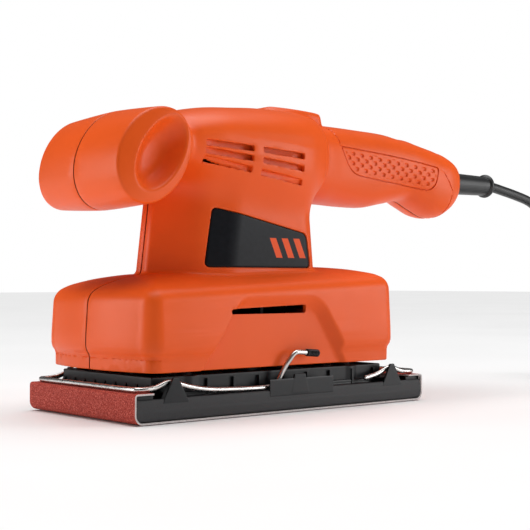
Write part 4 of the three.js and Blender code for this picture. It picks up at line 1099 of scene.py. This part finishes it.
def platen_field(p):
    x, y, z = p.T
    base = box_field(0 * x, y, z, **PLATEN["base"])
    deck = box_field(0 * x, y, z, **PLATEN["deck"])
    ends = np.maximum(box_field(x, y, z, **PLATEN["ends"]), 83.4 - np.abs(x))
    d = smin(smin(base, deck, 0.6), ends, 0.6)
    wall = smax(box_field(x, y, z, **PLATEN["wall"]), -box_field(x, y, z, **PLATEN["hollow"]), 0.3)
    d = smin(d, np.minimum(wall, platen_ribs(x, y, z)), 0.5)
    places = [(LEGS[end] + ORBIT, LEGS["y"]) for end in ("front", "rear")]
    s, socket = SOCKET, nearest(x, np.abs(y), places)
    d = smin(d, np.maximum(socket - s["outer"], np.abs(z - s["middle"]) - s["half"]), 0.6)
    h, hub = HUB, np.hypot(x - ORBIT, y)
    d = smin(d, np.maximum(hub - h["outer"], np.abs(z - h["middle"]) - h["half"]), 0.8)
    d = union(d, seats_field(x, y, z), seats_field(-x, -y, z))
    d = np.maximum(d, -np.maximum(socket - s["inner"], s["floor"] - z))
    seat = np.maximum(hub - h["seat"], h["seat_floor"] - z)
    hole = np.maximum(hub - h["hole"], h["hole_floor"] - z)
    channel = np.minimum(box_field(x, y, z, **PLATEN["channel"]), box_field(-x, -y, z, **PLATEN["channel"]))
    d = smax(np.maximum(d, -np.minimum(seat, hole)), -channel, 0.3)
    return np.maximum(d, end_round(np.abs(x), z))


def end_round(ax, z):
    """The ends that the paper bends over, with a round lower edge."""
    lower = round_edge(ax - BASE_REACH + END_ROUND, PAD_LOW + END_ROUND - z) - END_ROUND
    return smax(lower, z - CLAMP_TOP - 100 * (ax < BASE_REACH - 12), 1.2)


def pad_field(p):
    """The foam pad, with a thin lip up each long side that covers the platen's edge."""
    x, y, z = p.T
    a = np.abs(y)
    bow = 0.35 * ((z - 6) / 5) ** 2
    slab = box_field(0 * x, a + bow, z, **PAD_SLAB)
    lip = np.maximum(box_field(0 * x, a + bow, z, **PAD_LIP), 45.05 - a)
    return smax(smin(slab, lip, 0.4), end_round(np.abs(x), z), 0.3)


def rocker_field(p):
    """The switch's rocker: a plate with two slopes on top, ridges at one end, and a round root."""
    x, y, z = p.T
    r = ROCKER
    u = x - r["x"]
    above = z - r["top"] + r["sunk"]
    top = np.minimum(above - 0.019 * u, above - 0.202 * u)
    low = np.maximum(r["heel"] - 0.161 * (u + r["half"]) - z, r["z"] + 0.323 * (u - r["root"]) - z)
    plate = smax(smax(top, low, 0.4), np.abs(u) - r["half"], 0.8)
    root = np.maximum(np.hypot(u, z - r["z"]) - r["root"], z - r["top"] + 2)
    ridges = 0.35 * np.maximum(np.cos(math.pi * (u - 7.4) / 0.9), 0) * (np.abs(u - 7.4) < 1.8)
    d = np.minimum(plate - ridges * (np.abs(y) < 4.6), root)
    return smax(d, np.abs(y) - r["width"] / 2, 0.8)


def plug_field(p):
    x, y, z = p.T
    u, v, w = x - PLUG["x"], np.abs(y - PLUG_Y), z - PLUG["height"] / 2
    half, _ = table(PLUG_HALF)
    tall, _ = table(PLUG_TALL)
    uc = np.clip(u, 0, PLUG["length"])
    hw, ht = half(uc), tall(uc)
    power = 2 + 2.5 * np.clip((uc - 9) / 9, 0, 1)
    s = ((v / hw) ** power + (np.abs(w) / ht) ** power) ** (1 / power) + 1e-6
    d = (s - 1) * np.minimum(hw, ht) * 0.8
    ribs = 0.5 * np.maximum(np.cos(math.pi * (u - 3) / 1.5), 0) * (u < 10) * (u > 1)
    ribs += 0.4 * np.maximum(np.cos(math.pi * (u - 26) / 1.5), 0) * (np.abs(u - 26) < 5.3) * (v < 9)
    return smax(d + ribs, np.abs(u - PLUG["length"] / 2) - PLUG["length"] / 2, 1.4)


# ---------------------------------------------------------------- wires, turned pieces and the paper


def swept(name, line, radius, sides=16):
    """A closed round bar along a line of points, with domed ends."""
    line = np.asarray(line, float)
    ahead = np.gradient(line, axis=0)
    ahead /= np.linalg.norm(ahead, axis=1)[:, None]
    across = np.cross(ahead[0], (0.3, 0.2, 1.0))
    turns = np.linspace(0, 2 * math.pi, sides, endpoint=False)
    rows = []
    first, last = line[0] - ahead[0] * radius * 0.6, line[-1] + ahead[-1] * radius * 0.6
    steps = [(line[0] - ahead[0] * radius * 0.45, 0, 0.6)] + [(p, i, 1.0) for i, p in enumerate(line)]
    steps += [(line[-1] + ahead[-1] * radius * 0.45, len(line) - 1, 0.6)]
    for place, i, share in steps:
        across = across - ahead[i] * (across @ ahead[i])
        across /= np.linalg.norm(across)
        up = np.cross(ahead[i], across)
        circle = np.cos(turns)[:, None] * across + np.sin(turns)[:, None] * up
        rows.append(place + radius * share * circle)
    return closed_rows(name, rows, first, last)


def closed_rows(name, rows, first, last):
    """A skin over rings of equal count, closed to a point at each end."""
    sides = len(rows[0])
    points = np.concatenate(rows + [np.array([first]), np.array([last])])
    faces = []
    for i in range(len(rows) - 1):
        for j in range(sides):
            k = (j + 1) % sides
            faces.append((i * sides + j, i * sides + k, (i + 1) * sides + k, (i + 1) * sides + j))
    tip = len(rows) * sides
    mesh = bpy.data.meshes.new(name)
    for j in range(sides):
        k = (j + 1) % sides
        faces.append((tip, k, j))
        faces.append((tip + 1, tip - sides + j, tip - sides + k))
    mesh.from_pydata([tuple(p * MM) for p in points], [], faces)
    mesh.validate()
    obj = bpy.data.objects.new(name, mesh)
    bpy.context.scene.collection.objects.link(obj)
    return finish_mesh(obj, 40)


def lathe(name, profile, base, axis, sides=40):
    """A turned piece from (along, radius) rows, standing at base along axis."""
    axis = np.array(axis, float) / np.linalg.norm(axis)
    across = np.cross(axis, (0.31, 0.52, 0.79))
    across /= np.linalg.norm(across)
    up = np.cross(axis, across)
    turns = np.linspace(0, 2 * math.pi, sides, endpoint=False)
    circle = np.cos(turns)[:, None] * across + np.sin(turns)[:, None] * up
    rows = [np.array(base) + axis * along + circle * radius for along, radius in profile]
    first, last = (np.array(base) + axis * profile[i][0] for i in (0, -1))
    return closed_rows(name, rows, first, last)


def clamp_line():
    """The front clamp's wire: tail, side, bar across the paper, side, arm and lever."""
    y, bar_x, bar_z = 43, 91.1, 15.55

    def side(s):
        return [
            (bar_x, s * 39, bar_z), (bar_x - 0.8, s * 42.2, bar_z), (bar_x - 3.6, s * y, bar_z),
            (80.8, s * y, bar_z + 0.6), (75.2, s * y, 18), (72.8, s * y, 18.3), (70.2, s * y, 17.9),
        ]

    tail = [(53.8, -y, 13.6), (62.8, -y, 15.4)]
    arm = [(61, y, 15.4), (50, y, 13.6), (34, y, 12.8), (16, y, 12.6), (8.5, y, 13.4)]
    lever = [(5.2, 43.2, 18.4), (2.2, 45.5, 25), (-1.2, 46.5, 29), (-4, 46.5, 29.3), LEVER_END]
    return smooth_line(tail + side(-1)[::-1] + [(bar_x, 0, bar_z)] + side(1) + arm + lever, 1.0)


def paper_side(inset):
    """Half of the paper's profile, from its middle underneath to the folded edge, as (x, z) rows."""
    s = SHEET
    reach, low, high = s["length"] / 2 - inset, s["low_bend"] - inset, s["top_bend"] - inset
    top = s["height"] - inset
    quarter = math.pi / 2
    rows = [(x, inset) for x in np.linspace(0, reach - low, 46)[:-1]]
    for a in np.linspace(0, quarter, 10):
        rows.append((reach - low + low * math.sin(a), inset + low - low * math.cos(a)))
    rows += [(reach, z) for z in np.linspace(inset + low, top - high, 6)[1:-1]]
    for a in np.linspace(0, quarter, 7):
        rows.append((reach - high + high * math.cos(a), top - high + high * math.sin(a)))
    rows += [(x, top) for x in np.linspace(reach - high, s["length"] / 2 - s["fold"], 7)[1:]]
    return rows


def paper_faces(rows, count):
    """The faces of both skins and the cut edges between them, and each one's material: 0 grit, 1 paper."""

    def at(layer, row, i):
        return (layer * rows + row) * count + i

    faces, kinds = [], []
    for row in range(rows - 1):
        for i in range(count - 1):
            faces.append((at(0, row, i), at(0, row, i + 1), at(0, row + 1, i + 1), at(0, row + 1, i)))
            faces.append((at(1, row, i), at(1, row + 1, i), at(1, row + 1, i + 1), at(1, row, i + 1)))
            kinds += [0, 1]
        for i in (0, count - 1):
            quad = (at(0, row, i), at(0, row + 1, i), at(1, row + 1, i), at(1, row, i))
            faces.append(quad if i == 0 else quad[::-1])
            kinds.append(1)
    last = rows - 1
    for i in range(count - 1):
        faces.append((at(0, 0, i + 1), at(0, 0, i), at(1, 0, i), at(1, 0, i + 1)))
        faces.append((at(0, last, i), at(0, last, i + 1), at(1, last, i + 1), at(1, last, i)))
        kinds += [1, 1]
    return faces, kinds


def add_paper():
    """The abrasive strip, gritty outside, with its paper showing inside and at the cut edges."""
    across = np.linspace(-SHEET["width"] / 2, SHEET["width"] / 2, 41)
    points = []
    for inset in (0, SHEET["thick"]):
        half = paper_side(inset)
        x, z = np.array([(-x, z) for x, z in half[:0:-1]] + half).T
        for y in across:
            wave = 0.06 * np.sin(y * 0.21 + 0.8) * np.clip((z - 3) / 8, 0, 1)
            points.append(np.stack([x + np.sign(x) * wave, np.full(len(x), y), z], 1))
    faces, kinds = paper_faces(len(across), len(x))
    paper = new_mesh("abrasive_paper", np.concatenate(points), faces)
    finish_mesh(paper, 50)
    stands_for(paper, "sanding_platen", "abrasive", "abrasive_sheet")
    paper.data.materials.append(PAPER.material)
    paper.data.polygons.foreach_set("material_index", np.array(kinds, np.int32))


# ---------------------------------------------------------------- build


def add_floor():
    size = 6
    corners = [(-size, -size, 0), (size, -size, 0), (size, size, 0), (-size, size, 0)]
    floor = new_mesh("floor", np.array(corners) - [0, 0, 0.0004], [(0, 1, 2, 3)], 1)
    floor.data.materials.append(floor_look().material)


def add_shells():
    low = (-173.5, -0.5, 22)
    high = (97.5, 47, 158)
    left = moulded("left_housing_shell", shell_field(1), low, high, CELL)
    stands_for(left, "housing", "housing", "left_shell")
    low, high = (low[0], -high[1], low[2]), (high[0], -low[1], high[2])
    right = moulded("right_housing_shell", shell_field(-1), low, high, CELL)
    stands_for(right, "housing", "housing", "right_shell")


def around(node, spare=1.5):
    """A node's box in mm, with some room round it."""
    low, high = (np.array(v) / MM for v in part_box(node))
    return low - spare, high + spare


def add_mouldings():
    for side, name in ((1, "left"), (-1, "right")):
        low, high = around(name + "_badge")
        badge = moulded(name + "_badge_panel", badge_field(side), low, high, FINE_CELL, 30000)
        stands_for(badge, "housing", "badge", name + "_badge")
        low, high = np.array((-146, 12, 113)), np.array((-57, 25, 143))
        if side < 0:
            low, high = low * (1, -1, 1) - (0, 13, 0), high * (1, -1, 1) + (0, 13, 0)
        grip = moulded(name + "_grip_panel", grip_field(side), low, high, 0.45, 70000, 40)
        stands_for(grip, "housing", "housing")
    platen = moulded("platen_moulding", platen_field, *around("platen"), FINE_CELL, 150000)
    stands_for(platen, "sanding_platen", "black_plastic", "platen")
    pad = moulded("foam_pad", pad_field, *around("backing_pad"), FINE_CELL * 1.3, 30000)
    stands_for(pad, "sanding_platen", "pad_foam", "backing_pad")
    add_paper()
    rocker = moulded("rocker_button", rocker_field, *around("switch_rocker"), FINE_CELL * 0.8, 20000)
    stands_for(rocker, "switch", "black_plastic", "switch_rocker")
    plug = moulded("plug_moulding", plug_field, *around("plug_body"), FINE_CELL, 20000)
    stands_for(plug, "housing", "rubber", "plug_body")
    return plug


def add_wires():
    line = clamp_line()
    back = np.array((1, 0, 0.08)) / np.linalg.norm((1, 0, 0.08))
    grooves = [(s, 1.9 - 0.28 * (i % 2)) for i, s in enumerate(np.linspace(0.9, 6.9, 13))]
    profile = [(0, 1.5), (0.25, 1.8), (0.6, 1.9)] + grooves + [(7.4, 1.9), (8.0, 1.6), (8.4, 1.0)]
    for end, body in ((1, "front_clamp"), (-1, "rear_clamp")):
        turn = np.array((end, end, 1))
        wire = swept(body + "_rod", line * turn, 1.25)
        stands_for(wire, body, "wire", body + "_wire")
        start = (np.array(LEVER_END) - GAP * back) * turn
        cap = lathe(body + "_sleeve", profile, start, -back * turn, 28)
        stands_for(cap, body, "black_plastic", body + "_cap")


def add_sleeve():
    rows = [
        (0, 4.8), (0.3, 5.8), (1.2, 6.6), (2, 6.8), (13, 6.8), (14, 6.75), (18, 6.6), (45.5, 6.1), (47.7, 6.15),
        (48.3, 6.9), (48.8, 7.3), (49.8, 7.4), (50.7, 7.1), (51.3, 6.2), (51.5, 4.4), (51.1, 3.5),
    ]
    sleeve = lathe("cable_sleeve", rows, (RELIEF["start"], 0, RELIEF["z"]), (-1, 0, 0))
    stands_for(sleeve, "housing", "rubber", "strain_relief")


def add_legs():
    low, end, waist, top = LEGS["low"], LEGS["end"], LEGS["waist"], LEGS["top"] - LEGS["low"]
    rows = [(0, end - 0.8), (0.2, end - 0.3), (0.8, end), (4.4, end), (5.4, end - 0.4), (8, waist + 0.4)]
    rows += [(9.4, waist), (top - 14.4, waist), (top - 13, waist + 0.3), (top - 10.6, end - 0.3)]
    rows += [(top - 9.6, end), (top - 0.8, end), (top - 0.2, end - 0.3), (top, end - 0.8)]
    for along in ("front", "rear"):
        for y, side in ((LEGS["y"], "left"), (-LEGS["y"], "right")):
            leg = lathe(f"leg_{along}_{side}", rows, (LEGS[along], y, low), (0, 0, 1), 28)
            stands_for(leg, "housing", "rubber", f"platen_leg_{along}_{side}")


def plain_nodes():
    """Every CAD node that still shows gets its slot's look."""
    for row in frame["record"]["subparts"]:
        node = frame["nodes"].get(row["node"])
        if node is not None:
            node.data.materials.clear()
            node.data.materials.append(LOOKS[row["material_slot"]].material)


add_camera()
cord = add_cord()
stands_for(cord, "housing", "rubber", "cord_tube", "cord_coil", "cord_tail")
add_studio()
add_floor()
plain_nodes()
add_shells()
plug = add_mouldings()
add_wires()
add_sleeve()
add_legs()
